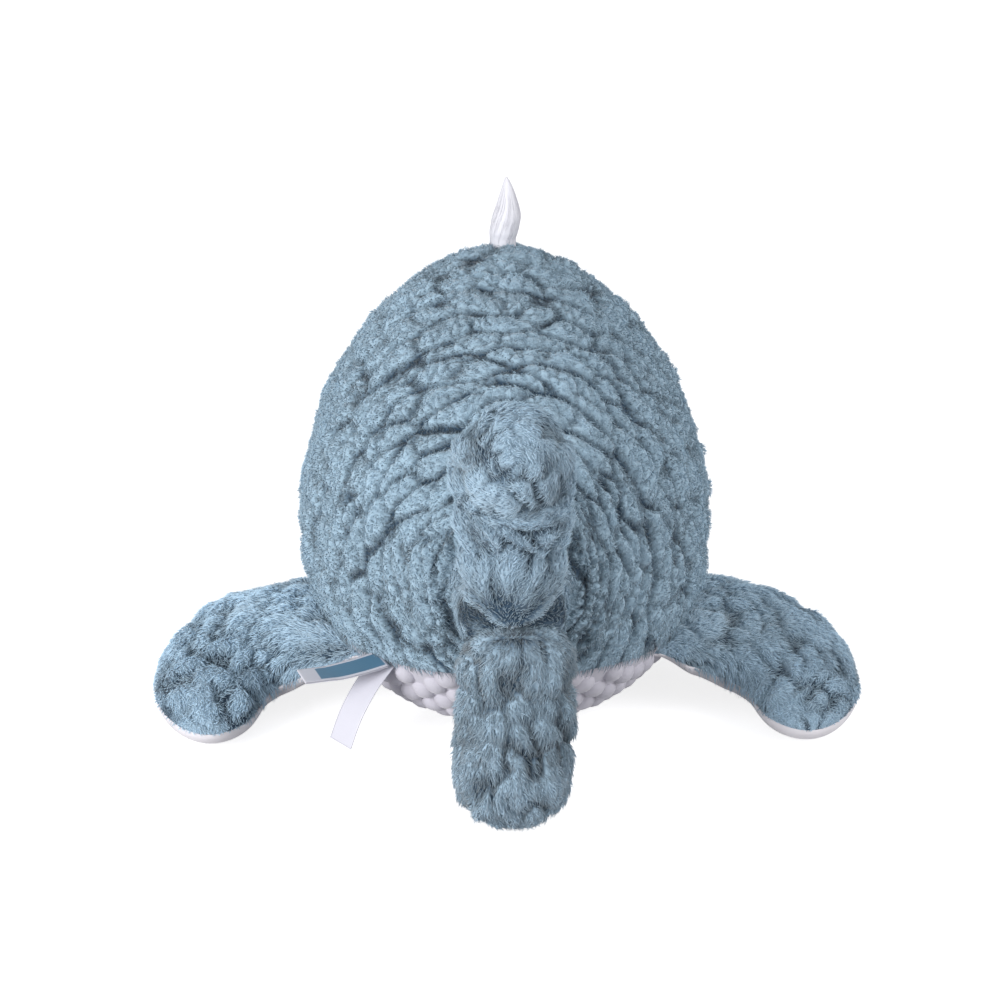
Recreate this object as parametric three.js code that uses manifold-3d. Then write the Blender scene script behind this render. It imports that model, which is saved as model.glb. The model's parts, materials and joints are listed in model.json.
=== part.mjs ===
// A plush whale that lies on its belly: fur and dimpled fabric over stuffing, two flippers, a tail whose two
// flukes stand one above the other, a silky tuft for its spout, bead eyes and two labels in the side seam.
// Millimetres, +Z up, +Y towards the nose. The origin is the middle of the flat that the belly rests on.
import * as THREE from "three";
import { mergeVertices } from "three/addons/utils/BufferGeometryUtils.js";
import Module from "manifold-3d";

// Fabric and fits
const fabricThickness = 3;
const clearance = 0.3;
const jointGap = 0.5;
const floorFlat = 0.5;

// Torso
const torsoLength = 310;
const torsoBehindOrigin = 135;
const torsoWidth = 208;
const torsoHeight = 208;
const widestShare = 0.56;
const noseHeightShare = 0.36;
const rearShares = [0, 0.12, 0.28, 0.45, 0.65, 0.85, 1];
const rearWidthShares = [0.36, 0.54, 0.74, 0.865, 0.955, 0.99, 1];
const rearTopShares = [0.655, 0.75, 0.845, 0.91, 0.965, 0.993, 1];
const rearBottomShares = [0.305, 0.15, 0.04, 0.008, 0, 0, 0];
const rearMiddleShares = [0.475, 0.46, 0.42, 0.39, 0.37, 0.36, 0.36];
const seamPlaceShares = [0, 0.15, 0.4, 0.65, 0.85, 1];
const seamHeightShares = [0.235, 0.205, 0.185, 0.2, 0.24, 0.3];
const crownPower = 1.8;
const bellyPower = 2.4;
const snoutPower = 2.3;
const chinPower = 3;

// Flippers
const flipperLength = 114;
const flipperAhead = -14;
const flipperRootRadius = 8;
const flipperThickness = 33;
const flipperChord = 70;
const flipperStationShares = [0, 0.2, 0.42, 0.64, 0.84, 1];
const flipperOutShares = [0, 0.16, 0.31, 0.43, 0.48, 0.48];
const flipperBackShares = [0, -0.01, 0.09, 0.29, 0.57, 0.8];
const flipperDropShares = [0, 0.3, 0.58, 0.8, 0.94, 1];
const flipperTurnShares = [0, 0.13, 0.33, 0.57, 0.82, 1];
const flipperChordShares = [1.22, 1.2, 1.12, 0.93, 0.73, 0.64];
const flipperSwellShares = [0, 0.75, 1, 0.96, 0.84, 0.68];
const flipperTipShare = 0.76;

// Tail stock
const stockRadius = 28;
const stockBehindTorso = 12;
const stockLength = 40;
const stockPlaceShares = [0, 0.25, 0.5, 0.75, 1];
const stockWidthShares = [1, 0.94, 0.89, 0.86, 0.8];
const stockHeightShares = [1, 0.92, 0.86, 0.86, 0.8];
const stockEndShare = 0.72;

// Flukes
const flukeLength = 74;
const flukeBehindPivot = 29;
const flukeRise = 32;
const flukeRootRadius = 21;
const flukeRootChord = 44;
const flukeThickness = 53;
const flukeChord = 54;
const flukeStationShares = [0, 0.22, 0.46, 0.72, 1];
const upperFlukeBackShares = [0, 0.04, 0.13, 0.33, 0.7];
const upperFlukeRiseShares = [0, 0.2, 0.43, 0.64, 0.74];
const lowerFlukeBackShares = [0, 0.02, 0.04, 0.07, 0.1];
const lowerFlukeDropShares = [0, 0.22, 0.46, 0.72, 1];
const flukeSwellShares = [0, 0.8, 1, 0.98, 0.9];
const flukeTipShare = 0.62;
const flukeTurnShare = 0.25;

// Spout tuft
const spoutHeight = 32;
const spoutWidth = 15;
const spoutAhead = 60;
const spoutRootRadius = 4;
const spoutPlaceShares = [0, 0.12, 0.3, 0.52, 0.74, 0.9];
const spoutWidthShares = [0.62, 0.95, 1, 0.78, 0.48, 0.22];
const spoutLeanShares = [0, 0.02, 0.05, 0.07, 0.07, 0.06];
const spoutTipLeanShare = 0.05;

// Bead eyes, each on a shank with a washer behind the fabric
const eyeAhead = 118;
const eyeHeight = 80;
const eyeRadius = 6;
const eyeDome = 4.2;
const eyeSeatDepth = 1;
const shankRadius = 1.6;
const shankPastWasher = 1.5;
const washerRadius = 8;
const washerThickness = 1.5;

// Sewn-in labels
const labelBehind = 97;
const labelThickness = 1;
const nameLabelLength = 41;
const nameLabelWidth = 16;
const careLabelLength = 45;
const careLabelWidth = 15;
const nameLabelOutShares = [0, 0.31, 0.61, 0.88];
const nameLabelRunShares = [0, 0.13, 0.28, 0.42];
const nameLabelRiseShares = [0, -0.05, -0.08, -0.08];
const careLabelOutShares = [0, 0.27, 0.46, 0.57];
const careLabelRunShares = [0, 0.02, 0.05, 0.08];
const careLabelRiseShares = [0, -0.24, -0.52, -0.79];
const labelSpacing = 1.6;

// How finely the forms are drawn
const torsoSides = 24;
const torsoRearRings = 7;
const torsoFrontRings = 6;
const hollowSides = 20;
const limbSides = 12;
const limbRings = 7;
const flukeSides = 12;
const flukeRings = 6;
const stockRings = 5;
const rootRings = 2;
const spoutSides = 12;
const beadSides = 16;
const beadRings = 4;
const settlingSteps = 5;
const probeShare = 0.002;
const overrun = 20;

const halfTurn = Math.PI;
const quarterTurn = Math.PI / 2;

const wasm = await Module();
wasm.setup();

const vec = (x, y, z) => new THREE.Vector3(x, y, z);
const lerp = THREE.MathUtils.lerp;

// A smooth curve through the points (xs, ys) that never swings past them: cubic pieces whose slope at each
// point is the harmonic mean of the slopes on its two sides, or level where these differ in sign.
function smooth(xs, ys) {
  const slopes = ys.slice(1).map((y, i) => (y - ys[i]) / (xs[i + 1] - xs[i]));
  const tangents = ys.map((_, i) => {
    if (i === 0) return slopes[0];
    if (i === ys.length - 1) return slopes[i - 1];
    const [before, after] = [slopes[i - 1], slopes[i]];
    return before * after > 0 ? (2 * before * after) / (before + after) : 0;
  });
  return (x) => {
    let i = 0;
    while (i < slopes.length - 1 && x > xs[i + 1]) i += 1;
    const span = xs[i + 1] - xs[i];
    const u = THREE.MathUtils.clamp((x - xs[i]) / span, 0, 1);
    const [u2, u3] = [u * u, u * u * u];
    return (
      ys[i] * (2 * u3 - 3 * u2 + 1) +
      tangents[i] * span * (u3 - 2 * u2 + u) +
      ys[i + 1] * (3 * u2 - 2 * u3) +
      tangents[i + 1] * span * (u3 - u2)
    );
  };
}

// The quarter of a superellipse: 1 at q = 0, falling to 0 at q = 1.
const fallOff = (q, power) => (1 - Math.min(1, q) ** power) ** (1 / power);

const signedPower = (value, power) => Math.sign(value) * Math.abs(value) ** power;

// A closed surface over rings of points, with a fan from the pole at each end.
function loft(rings, startPole, endPole) {
  const points = [...rings.flat(), startPole, endPole];
  const sides = rings[0].length;
  const start = points.length - 2;
  const end = points.length - 1;
  const lastRing = (rings.length - 1) * sides;
  const faces = [];
  for (let side = 0; side < sides; side += 1) {
    const next = (side + 1) % sides;
    faces.push([start, next, side], [end, lastRing + side, lastRing + next]);
    for (let ring = 0; ring < lastRing; ring += sides) {
      const [a, b] = [ring + side, ring + next];
      faces.push([a, b, b + sides], [a, b + sides, a + sides]);
    }
  }
  const geometry = new THREE.BufferGeometry().setFromPoints(points);
  geometry.setIndex(faces.flat());
  return facingOut(geometry);
}

const middleOf = (ring) =>
  ring.reduce((sum, point) => sum.add(point), vec(0, 0, 0)).divideScalar(ring.length);

// The geometry with its faces turned so that the volume that they enclose counts as positive.
function facingOut(geometry) {
  const place = geometry.getAttribute("position");
  const index = geometry.getIndex().array;
  const [a, b, c] = [vec(), vec(), vec()];
  let volume = 0;
  for (let i = 0; i < index.length; i += 3) {
    a.fromBufferAttribute(place, index[i]);
    b.fromBufferAttribute(place, index[i + 1]);
    c.fromBufferAttribute(place, index[i + 2]);
    volume += a.dot(b.cross(c));
  }
  if (volume < 0) {
    for (let i = 0; i < index.length; i += 3) {
      [index[i + 1], index[i + 2]] = [index[i + 2], index[i + 1]];
    }
  }
  return geometry;
}

// The form drawn in by a distance, each point along its own normal.
function drawnIn(geometry, distance) {
  const inner = geometry.clone();
  inner.computeVertexNormals();
  const place = inner.getAttribute("position");
  const normal = inner.getAttribute("normal");
  const [point, along] = [vec(), vec()];
  for (let i = 0; i < place.count; i += 1) {
    point.fromBufferAttribute(place, i);
    along.fromBufferAttribute(normal, i);
    point.addScaledVector(along, -distance);
    place.setXYZ(i, point.x, point.y, point.z);
  }
  return inner;
}

// A closed geometry as a solid that can be joined and cut.
function solid(geometry) {
  const bare = geometry.clone();
  bare.deleteAttribute("normal");
  bare.deleteAttribute("uv");
  const merged = mergeVertices(bare);
  return new wasm.Manifold(
    new wasm.Mesh({
      numProp: 3,
      vertProperties: new Float32Array(merged.getAttribute("position").array),
      triVerts: new Uint32Array(merged.getIndex().array),
    }),
  );
}

const whale = new THREE.Group();

const longFur = new THREE.MeshStandardMaterial({ color: "#8199ac", roughness: 1 });
const combedFur = new THREE.MeshStandardMaterial({ color: "#8ba3b5", roughness: 1 });
const dimpledFabric = new THREE.MeshStandardMaterial({ color: "#e9e6ec", roughness: 0.95 });
const velour = new THREE.MeshStandardMaterial({ color: "#efedf1", roughness: 0.9 });
const stuffing = new THREE.MeshStandardMaterial({ color: "#f6f5f0", roughness: 1 });
const silkyTuft = new THREE.MeshStandardMaterial({ color: "#efeef5", roughness: 0.55 });
const satin = new THREE.MeshStandardMaterial({ color: "#eeedf2", roughness: 0.4 });
const bead = new THREE.MeshStandardMaterial({ color: "#0b0b0d", roughness: 0.08 });
const washerPlastic = new THREE.MeshStandardMaterial({ color: "#e2e2dc", roughness: 0.5 });

// A group that turns about its hinge: it stands at the hinge's place and keeps the hinge's direction.
function hinged(name, place, direction, parent = whale) {
  const group = new THREE.Group();
  group.name = name;
  group.position.copy(place).sub(parent.getWorldPosition(vec()));
  group.userData.axis = direction.toArray();
  parent.add(group);
  group.updateMatrixWorld(true);
  return group;
}

// Adds a solid to a group as a named mesh.
function add(name, body, material, group = whale) {
  const made = body.getMesh();
  const geometry = new THREE.BufferGeometry();
  geometry.setAttribute("position", new THREE.BufferAttribute(made.vertProperties, 3));
  geometry.setIndex(new THREE.BufferAttribute(made.triVerts, 1));
  const place = group.getWorldPosition(vec());
  geometry.translate(-place.x, -place.y, -place.z);
  const mesh = new THREE.Mesh(geometry, material);
  mesh.name = name;
  group.add(mesh);
}

// The torso's outline at a place y along it: half its width, and its top, bottom and widest heights.
const widestAt = torsoLength * widestShare - torsoBehindOrigin;
const rearLength = torsoLength * widestShare;
const frontLength = torsoLength - rearLength;
const noseHeight = torsoHeight * noseHeightShare;
const rearWidth = smooth(rearShares, rearWidthShares);
const rearTop = smooth(rearShares, rearTopShares);
const rearBottom = smooth(rearShares, rearBottomShares);
const rearMiddle = smooth(rearShares, rearMiddleShares);

function outline(y) {
  const ahead = (y - widestAt) / frontLength;
  if (ahead > 0) {
    return {
      half: (torsoWidth / 2) * fallOff(ahead, snoutPower),
      top: lerp(noseHeight, torsoHeight, fallOff(ahead, crownPower)),
      bottom: lerp(noseHeight, -floorFlat, fallOff(ahead, chinPower)),
      middle: noseHeight,
    };
  }
  const share = 1 + (y - widestAt) / rearLength;
  return {
    half: (torsoWidth / 2) * rearWidth(share),
    top: torsoHeight * rearTop(share),
    bottom: torsoHeight * rearBottom(share) - floorFlat,
    middle: torsoHeight * rearMiddle(share),
  };
}

// A ring of the torso at y: an ellipse above its widest height and a fuller superellipse below.
function torsoRing(y) {
  const { half, top, bottom, middle } = outline(y);
  return Array.from({ length: torsoSides }, (_, i) => {
    const angle = (2 * halfTurn * i) / torsoSides;
    const power = 2 / (Math.sin(angle) > 0 ? crownPower : bellyPower);
    const reach = Math.sin(angle) > 0 ? top - middle : middle - bottom;
    return vec(
      half * signedPower(Math.cos(angle), power),
      y,
      middle + reach * signedPower(Math.sin(angle), power),
    );
  });
}

// How far the torso's side stands from its middle plane at the place y and the height z.
function sideReach(y, z) {
  const { half, top, bottom, middle } = outline(y);
  return z > middle
    ? half * fallOff((z - middle) / (top - middle), crownPower)
    : half * fallOff((middle - z) / (middle - bottom), bellyPower);
}

// The torso's surface at (y, z) on one side, side being 1 or -1: its point, its normal and its direction
// forwards.
function onTorso(side, y, z) {
  const step = torsoLength * probeShare;
  const slopeY = (sideReach(y + step, z) - sideReach(y - step, z)) / (2 * step);
  const slopeZ = (sideReach(y, z + step) - sideReach(y, z - step)) / (2 * step);
  return {
    point: vec(side * sideReach(y, z), y, z),
    normal: vec(side, -slopeY, -slopeZ).normalize(),
    forwards: vec(side * slopeY, 1, 0).normalize(),
  };
}

const torsoBack = -torsoBehindOrigin;
const noseAt = torsoLength - torsoBehindOrigin;
const seamShare = smooth(seamPlaceShares, seamHeightShares);
const seamHeight = (y) => torsoHeight * seamShare((y - torsoBack) / torsoLength);

const torsoPlaces = [
  ...Array.from({ length: torsoRearRings }, (_, i) => lerp(torsoBack, widestAt, i / torsoRearRings)),
  ...Array.from({ length: torsoFrontRings }, (_, i) => {
    return widestAt + frontLength * Math.sin((quarterTurn * i) / torsoFrontRings);
  }),
];
const torsoRings = torsoPlaces.map(torsoRing);
const torsoForm = loft(torsoRings, middleOf(torsoRings[0]), vec(0, noseAt, noseHeight));

const torsoFaces = Array.from({ length: torsoForm.getIndex().count / 3 }, (_, i) => {
  const face = new THREE.Triangle();
  const index = torsoForm.getIndex();
  const corners = [index.getX(3 * i), index.getX(3 * i + 1), index.getX(3 * i + 2)];
  face.setFromAttributeAndIndices(torsoForm.getAttribute("position"), ...corners);
  return face;
});

function distanceToTorso(point) {
  const nearest = vec();
  const distances = torsoFaces.map((face) => face.closestPointToPoint(point, nearest).distanceTo(point));
  return Math.min(...distances);
}

// The place on the way out along the normal where a root edge lies at the given distance from the torso's
// faces. The edge runs to both sides of its middle.
function seated({ point, normal }, edge, distance) {
  const middle = point.clone().addScaledVector(normal, distance);
  const ends = [-1, -1 / 2, 0, 1 / 2, 1];
  for (let i = 0; i < settlingSteps; i += 1) {
    const gaps = ends.map((end) => distanceToTorso(middle.clone().addScaledVector(edge, end)));
    middle.addScaledVector(normal, distance - Math.min(...gaps));
  }
  return middle;
}

// A block as long as the torso, from its far side to a height that may change with y.
function blockTo(height, farSide, fromX, toX) {
  const places = [torsoBack - overrun, ...torsoPlaces, noseAt, noseAt + overrun];
  const rings = places.map((y) => [
    vec(fromX, y, height(y)),
    vec(toX, y, height(y)),
    vec(toX, y, farSide),
    vec(fromX, y, farSide),
  ]);
  return solid(loft(rings, middleOf(rings[0]), middleOf(rings.at(-1))));
}

const wide = torsoWidth;
const roof = torsoHeight + overrun;
const underSeam = blockTo((y) => seamHeight(y) - clearance / 2, -overrun, -wide, wide);
const overSeam = (fromX, toX) => blockTo((y) => seamHeight(y) + clearance / 2, roof, fromX, toX);

// Everything that the floor takes off the whale's underside
const floorSize = 2 * (torsoLength + flipperLength + flukeLength);
const floorBox = new THREE.BoxGeometry(floorSize, floorSize, overrun).translate(0, 0, -overrun / 2);
const floor = solid(floorBox);

// The tail's pivot and the hollow that its round end turns in
const { top: rearTopHeight, bottom: rearBottomHeight } = outline(torsoBack);
const pivot = vec(0, torsoBack - stockBehindTorso, (rearTopHeight + rearBottomHeight) / 2);

function ball(centre, radius) {
  const shape = new THREE.SphereGeometry(radius, hollowSides, hollowSides / 2);
  return solid(shape.rotateX(quarterTurn).translate(centre.x, centre.y, centre.z));
}

const facetsOutside = 1 / Math.cos(halfTurn / hollowSides);
const stockHollow = ball(pivot, (stockRadius + jointGap) * facetsOutside);

// A solid of revolution about the torso's normal at an eye, from points [radius, height over the surface].
function onEyeAxis(side, profile) {
  const { point, normal } = onTorso(side, eyeAhead, eyeHeight);
  const shape = new THREE.LatheGeometry(
    profile.map(([radius, height]) => new THREE.Vector2(radius, height)),
    beadSides,
  );
  shape.applyQuaternion(new THREE.Quaternion().setFromUnitVectors(vec(0, 1, 0), normal));
  shape.translate(point.x, point.y, point.z);
  const bare = shape.clone();
  bare.deleteAttribute("normal");
  bare.deleteAttribute("uv");
  return solid(facingOut(mergeVertices(bare)));
}

const rod = (radius, low, high) => [
  [0, low],
  [radius, low],
  [radius, high],
  [0, high],
];

const washerFront = -fabricThickness - clearance;
const washerBack = washerFront - washerThickness;
const shankEnd = washerBack - shankPastWasher;
const eyeBack = clearance - eyeSeatDepth;

function eyeParts(side, name) {
  const dome = Array.from({ length: beadRings }, (_, i) => {
    const angle = (quarterTurn * i) / (beadRings - 1);
    return [eyeRadius * Math.cos(angle), eyeBack + eyeDome * Math.sin(angle)];
  });
  const profile = [[0, shankEnd], [shankRadius, shankEnd], [shankRadius, eyeBack], ...dome];
  profile.at(-1)[0] = 0;
  add("eye_" + name, onEyeAxis(side, profile), bead);
  const bore = shankRadius + clearance;
  const ring = [
    [bore, washerBack],
    [washerRadius, washerBack],
    [washerRadius, washerFront],
    [bore, washerFront],
    [bore, washerBack],
  ];
  add("eye_washer_" + name, onEyeAxis(side, ring), washerPlastic);
}

// What an eye and its washer take out of the fabric and out of the stuffing
const eyeSeat = (side) => onEyeAxis(side, rod(eyeRadius + clearance, -eyeSeatDepth, overrun));
const shankHole = (side) => onEyeAxis(side, rod(shankRadius + clearance, shankEnd - clearance, overrun));
const washerHollow = (side) =>
  onEyeAxis(side, rod(washerRadius + clearance, shankEnd - clearance, washerFront + clearance));

const torsoShell = solid(torsoForm)
  .subtract(solid(drawnIn(torsoForm, fabricThickness)))
  .subtract(floor)
  .subtract(stockHollow);

function backPanel(side, name) {
  const [fromX, toX] = side > 0 ? [clearance / 2, wide] : [-wide, -clearance / 2];
  const panel = torsoShell
    .intersect(overSeam(fromX, toX))
    .subtract(eyeSeat(side))
    .subtract(shankHole(side))
    .subtract(washerHollow(side));
  add("back_panel_" + name, panel, longFur);
}

function bodyFilling() {
  let filling = solid(drawnIn(torsoForm, fabricThickness + clearance)).subtract(stockHollow);
  for (const side of [-1, 1]) filling = filling.subtract(washerHollow(side));
  add("body_filling", filling, stuffing);
}

// A limb along its spine, drawn in by inset. station(share) gives its middle, its chord and rise directions,
// half its chord and half its rise. Root rings close it round its hinge, and the tip closes as a quarter of
// an ellipse.
function limbForm({ station, sides, rings, root, tipShare, length }, inset) {
  const section = (middle, { chordWay, riseWay }, halfChord, halfRise) =>
    Array.from({ length: sides }, (_, i) => {
      const angle = (2 * halfTurn * i) / sides;
      return middle
        .clone()
        .addScaledVector(chordWay, halfChord * Math.cos(angle))
        .addScaledVector(riseWay, halfRise * Math.sin(angle));
    });
  const made = [];
  const first = station(0);
  const rootRadius = root.radius - inset;
  for (let i = rootRings; i > 0; i -= 1) {
    const angle = (quarterTurn * i) / (rootRings + 1);
    const middle = first.middle.clone().addScaledVector(root.way, -rootRadius * Math.sin(angle));
    made.push(section(middle, first, first.halfChord - inset, rootRadius * Math.cos(angle)));
  }
  const last = 1 - inset / length;
  for (let i = 0; i < rings; i += 1) {
    const share = last * Math.sin((quarterTurn * i) / rings);
    const here = station(share);
    const closing = share < tipShare ? 1 : fallOff((share - tipShare) / (last - tipShare), 2);
    const halfChord = (here.halfChord - inset) * closing;
    const halfRise = (here.halfRise - inset) * closing;
    made.push(section(here.middle, here, halfChord, halfRise));
  }
  return loft(made, middleOf(made[0]), station(last).middle);
}

// The whole drop at which a limb's lowest point lies as deep as the floor flattens it. draw(drop) gives its
// form.
function dropToFloor(hinge, draw) {
  let drop = hinge.z;
  for (let i = 0; i < settlingSteps; i += 1) {
    const form = draw(drop);
    form.computeBoundingBox();
    drop *= (hinge.z + floorFlat) / (hinge.z - form.boundingBox.min.z);
  }
  return drop;
}

// Cover and stuffing of a limb. form(inset) gives its shape drawn in, cut(body) takes its neighbours from it,
// and the cover's pieces are given as [name, what makes the piece from the whole shell, material].
function coverAndFill(form, fillingName, pieces, cut, group) {
  const shell = cut(solid(form(0)).subtract(solid(form(fabricThickness))));
  for (const [name, pieceOf, material] of pieces) add(name, pieceOf(shell), material, group);
  add(fillingName, cut(solid(form(fabricThickness + clearance))), stuffing, group);
}

// A flipper: its hinge runs along the side seam, just clear of the torso, and it sweeps out, back and down.
function flipper(side, name) {
  const seat = onTorso(side, flipperAhead, seamHeight(flipperAhead));
  const forwards = seat.forwards;
  const rootEdge = forwards.clone().multiplyScalar((flipperChord / 2) * flipperChordShares[0]);
  const hinge = seated(seat, rootEdge, flipperRootRadius + jointGap);
  const outwards = vec(side * forwards.y, -side * forwards.x, 0);
  const up = vec(0, 0, 1);
  const out = smooth(flipperStationShares, flipperOutShares);
  const back = smooth(flipperStationShares, flipperBackShares);
  const drop = smooth(flipperStationShares, flipperDropShares);
  const turn = smooth(flipperStationShares, flipperTurnShares);
  const chord = smooth(flipperStationShares, flipperChordShares);
  const swell = smooth(flipperStationShares, flipperSwellShares);
  const plan = (fullDrop) => {
    const middle = (share) =>
      hinge
        .clone()
        .addScaledVector(outwards, flipperLength * out(share))
        .addScaledVector(forwards, -flipperLength * back(share))
        .addScaledVector(up, -fullDrop * drop(share));
    const station = (share) => ({
      middle: middle(share),
      chordWay: forwards.clone().applyAxisAngle(up, -side * quarterTurn * turn(share)),
      riseWay: up,
      halfChord: (flipperChord / 2) * chord(share),
      halfRise: lerp(flipperRootRadius, flipperThickness / 2, swell(share)),
    });
    return {
      station,
      sides: limbSides,
      rings: limbRings,
      root: { way: outwards, radius: flipperRootRadius },
      tipShare: flipperTipShare,
      length: flipperLength,
    };
  };
  const settled = plan(dropToFloor(hinge, (fullDrop) => limbForm(plan(fullDrop), 0)));
  const beyond = (place, way) => ({ ...place, middle: place.middle.clone().addScaledVector(way, overrun) });
  const aboveSeam = (lift) => {
    const places = Array.from({ length: limbRings + 1 }, (_, i) => settled.station(i / limbRings));
    const [nearTip, tip] = places.slice(-2);
    const onwards = tip.middle.clone().sub(nearTip.middle).normalize();
    const ends = [beyond(places[0], outwards.clone().negate()), beyond(tip, onwards)];
    const rings = [ends[0], ...places, ends[1]].map(({ middle, chordWay, halfChord }) => {
      const near = middle.clone().addScaledVector(up, lift);
      const far = near.clone().addScaledVector(up, flipperThickness);
      const reach = halfChord + flipperRootRadius;
      return [
        near.clone().addScaledVector(chordWay, reach),
        near.clone().addScaledVector(chordWay, -reach),
        far.clone().addScaledVector(chordWay, -reach),
        far.clone().addScaledVector(chordWay, reach),
      ];
    });
    return solid(loft(rings, middleOf(rings[0]), middleOf(rings.at(-1))));
  };
  coverAndFill(
    (inset) => limbForm(settled, inset),
    "flipper_filling_" + name,
    [
      ["flipper_top_" + name, (shell) => shell.intersect(aboveSeam(clearance / 2)), combedFur],
      ["flipper_underside_" + name, (shell) => shell.subtract(aboveSeam(-clearance / 2)), velour],
    ],
    (body) => body.subtract(floor),
    hinged(name + "_flipper", hinge, forwards),
  );
}

// The tail stock: a round front end that turns in the torso's hollow, then a taper to the flukes.
const flukeHinge = (way) => vec(0, pivot.y - flukeBehindPivot, pivot.z + way * flukeRise);

function flukeSeat(way) {
  const radius = (flukeRootRadius + jointGap) * facetsOutside;
  const length = flukeRootChord + 2 * jointGap;
  const shape = new THREE.CylinderGeometry(radius, radius, length, hollowSides);
  const { y, z } = flukeHinge(way);
  return solid(shape.translate(0, y, z));
}

function tailStock() {
  const width = smooth(stockPlaceShares, stockWidthShares);
  const height = smooth(stockPlaceShares, stockHeightShares);
  const ring = (back, halfWidth, halfHeight) =>
    Array.from({ length: limbSides }, (_, i) => {
      const angle = (2 * halfTurn * i) / limbSides;
      return vec(halfWidth * Math.cos(angle), pivot.y - back, pivot.z + halfHeight * Math.sin(angle));
    });
  const rings = [];
  const domeRings = rootRings + 1;
  for (let i = domeRings; i > 0; i -= 1) {
    const angle = (quarterTurn * i) / (domeRings + 1);
    const radius = stockRadius * Math.cos(angle);
    rings.push(ring(-stockRadius * Math.sin(angle), radius, radius));
  }
  for (let i = 0; i < stockRings; i += 1) {
    const share = i / stockRings;
    const past = (share - stockEndShare) / (1 - stockEndShare);
    const across = stockRadius * (past < 0 ? 1 : fallOff(past, 2));
    rings.push(ring(stockLength * share, across * width(share), across * height(share)));
  }
  const form = loft(
    rings,
    vec(0, pivot.y + stockRadius, pivot.z),
    vec(0, pivot.y - stockLength, pivot.z),
  );
  const cut = (body) => body.subtract(flukeSeat(1)).subtract(flukeSeat(-1));
  const drawn = (inset) => (inset ? drawnIn(form, inset) : form);
  const sleeve = ["tail_stock_cover", (shell) => shell, combedFur];
  const tail = hinged("tail", pivot, vec(1, 0, 0));
  coverAndFill(drawn, "tail_stock_filling", [sleeve], cut, tail);
  return tail;
}

// A fluke: its hinge runs along Y in the seat on the stock, and its spine goes up or down and bends back.
function fluke(tail, way, name, backShares, riseShares) {
  const hinge = flukeHinge(way);
  const back = smooth(flukeStationShares, backShares);
  const rise = smooth(flukeStationShares, riseShares);
  const swell = smooth(flukeStationShares, flukeSwellShares);
  const plan = (fullRise) => {
    const middle = (share) =>
      vec(0, hinge.y - flukeLength * back(share), hinge.z + way * fullRise * rise(share));
    const station = (share) => {
      const ahead = middle(Math.min(1, share + probeShare)).sub(middle(Math.max(0, share - probeShare)));
      const square = vec(0, ahead.z * way, -ahead.y * way).normalize();
      return {
        middle: middle(share),
        chordWay: vec(0, 1, 0).lerp(square, Math.min(1, share / flukeTurnShare)).normalize(),
        riseWay: vec(1, 0, 0),
        halfChord: lerp(flukeRootChord, flukeChord, swell(share)) / 2,
        halfRise: lerp(flukeRootRadius, flukeThickness / 2, swell(share)),
      };
    };
    return {
      station,
      sides: flukeSides,
      rings: flukeRings,
      root: { way: vec(0, 0, way), radius: flukeRootRadius },
      tipShare: flukeTipShare,
      length: flukeLength,
    };
  };
  const reachToFloor = () => dropToFloor(hinge, (drop) => limbForm(plan(drop), 0));
  const settled = plan(way > 0 ? flukeLength : reachToFloor());
  const half = (side) => {
    const size = 2 * (flukeLength + flukeThickness);
    const box = new THREE.BoxGeometry(size, size, size);
    return solid(box.translate((side * (size + clearance)) / 2, hinge.y, hinge.z));
  };
  coverAndFill(
    (inset) => limbForm(settled, inset),
    name + "_fluke_filling",
    [
      [name + "_fluke_left", (shell) => shell.intersect(half(-1)), combedFur],
      [name + "_fluke_right", (shell) => shell.intersect(half(1)), combedFur],
    ],
    (body) => body.subtract(floor),
    hinged(name + "_fluke", hinge, vec(0, 1, 0), tail),
  );
}

// The spout: a flame-shaped tuft whose round root stands just clear of the torso's top.
function spout() {
  const lean = smooth(spoutPlaceShares, spoutLeanShares);
  const width = smooth(spoutPlaceShares, spoutWidthShares);
  const seat = { point: vec(0, spoutAhead, outline(spoutAhead).top), normal: vec(0, 0, 1) };
  const root = seated(seat, vec(0, 0, 0), spoutRootRadius + jointGap);
  const ring = (x, z, radius) =>
    Array.from({ length: spoutSides }, (_, i) => {
      const angle = (2 * halfTurn * i) / spoutSides;
      return vec(root.x + x + radius * Math.cos(angle), root.y + radius * Math.sin(angle), root.z + z);
    });
  const rings = [];
  for (let i = rootRings; i > 0; i -= 1) {
    const angle = (quarterTurn * i) / (rootRings + 1);
    rings.push(ring(0, -spoutRootRadius * Math.sin(angle), spoutRootRadius * Math.cos(angle)));
  }
  for (const share of spoutPlaceShares) {
    rings.push(ring(spoutHeight * lean(share), spoutHeight * share, (spoutWidth / 2) * width(share)));
  }
  const tip = vec(spoutHeight * spoutTipLeanShare, root.y, root.z + spoutHeight);
  const foot = root.clone().addScaledVector(vec(0, 0, -1), spoutRootRadius);
  add("spout_tuft", solid(loft(rings, foot, tip)), silkyTuft, hinged("spout", root, vec(1, 0, 0)));
}

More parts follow.
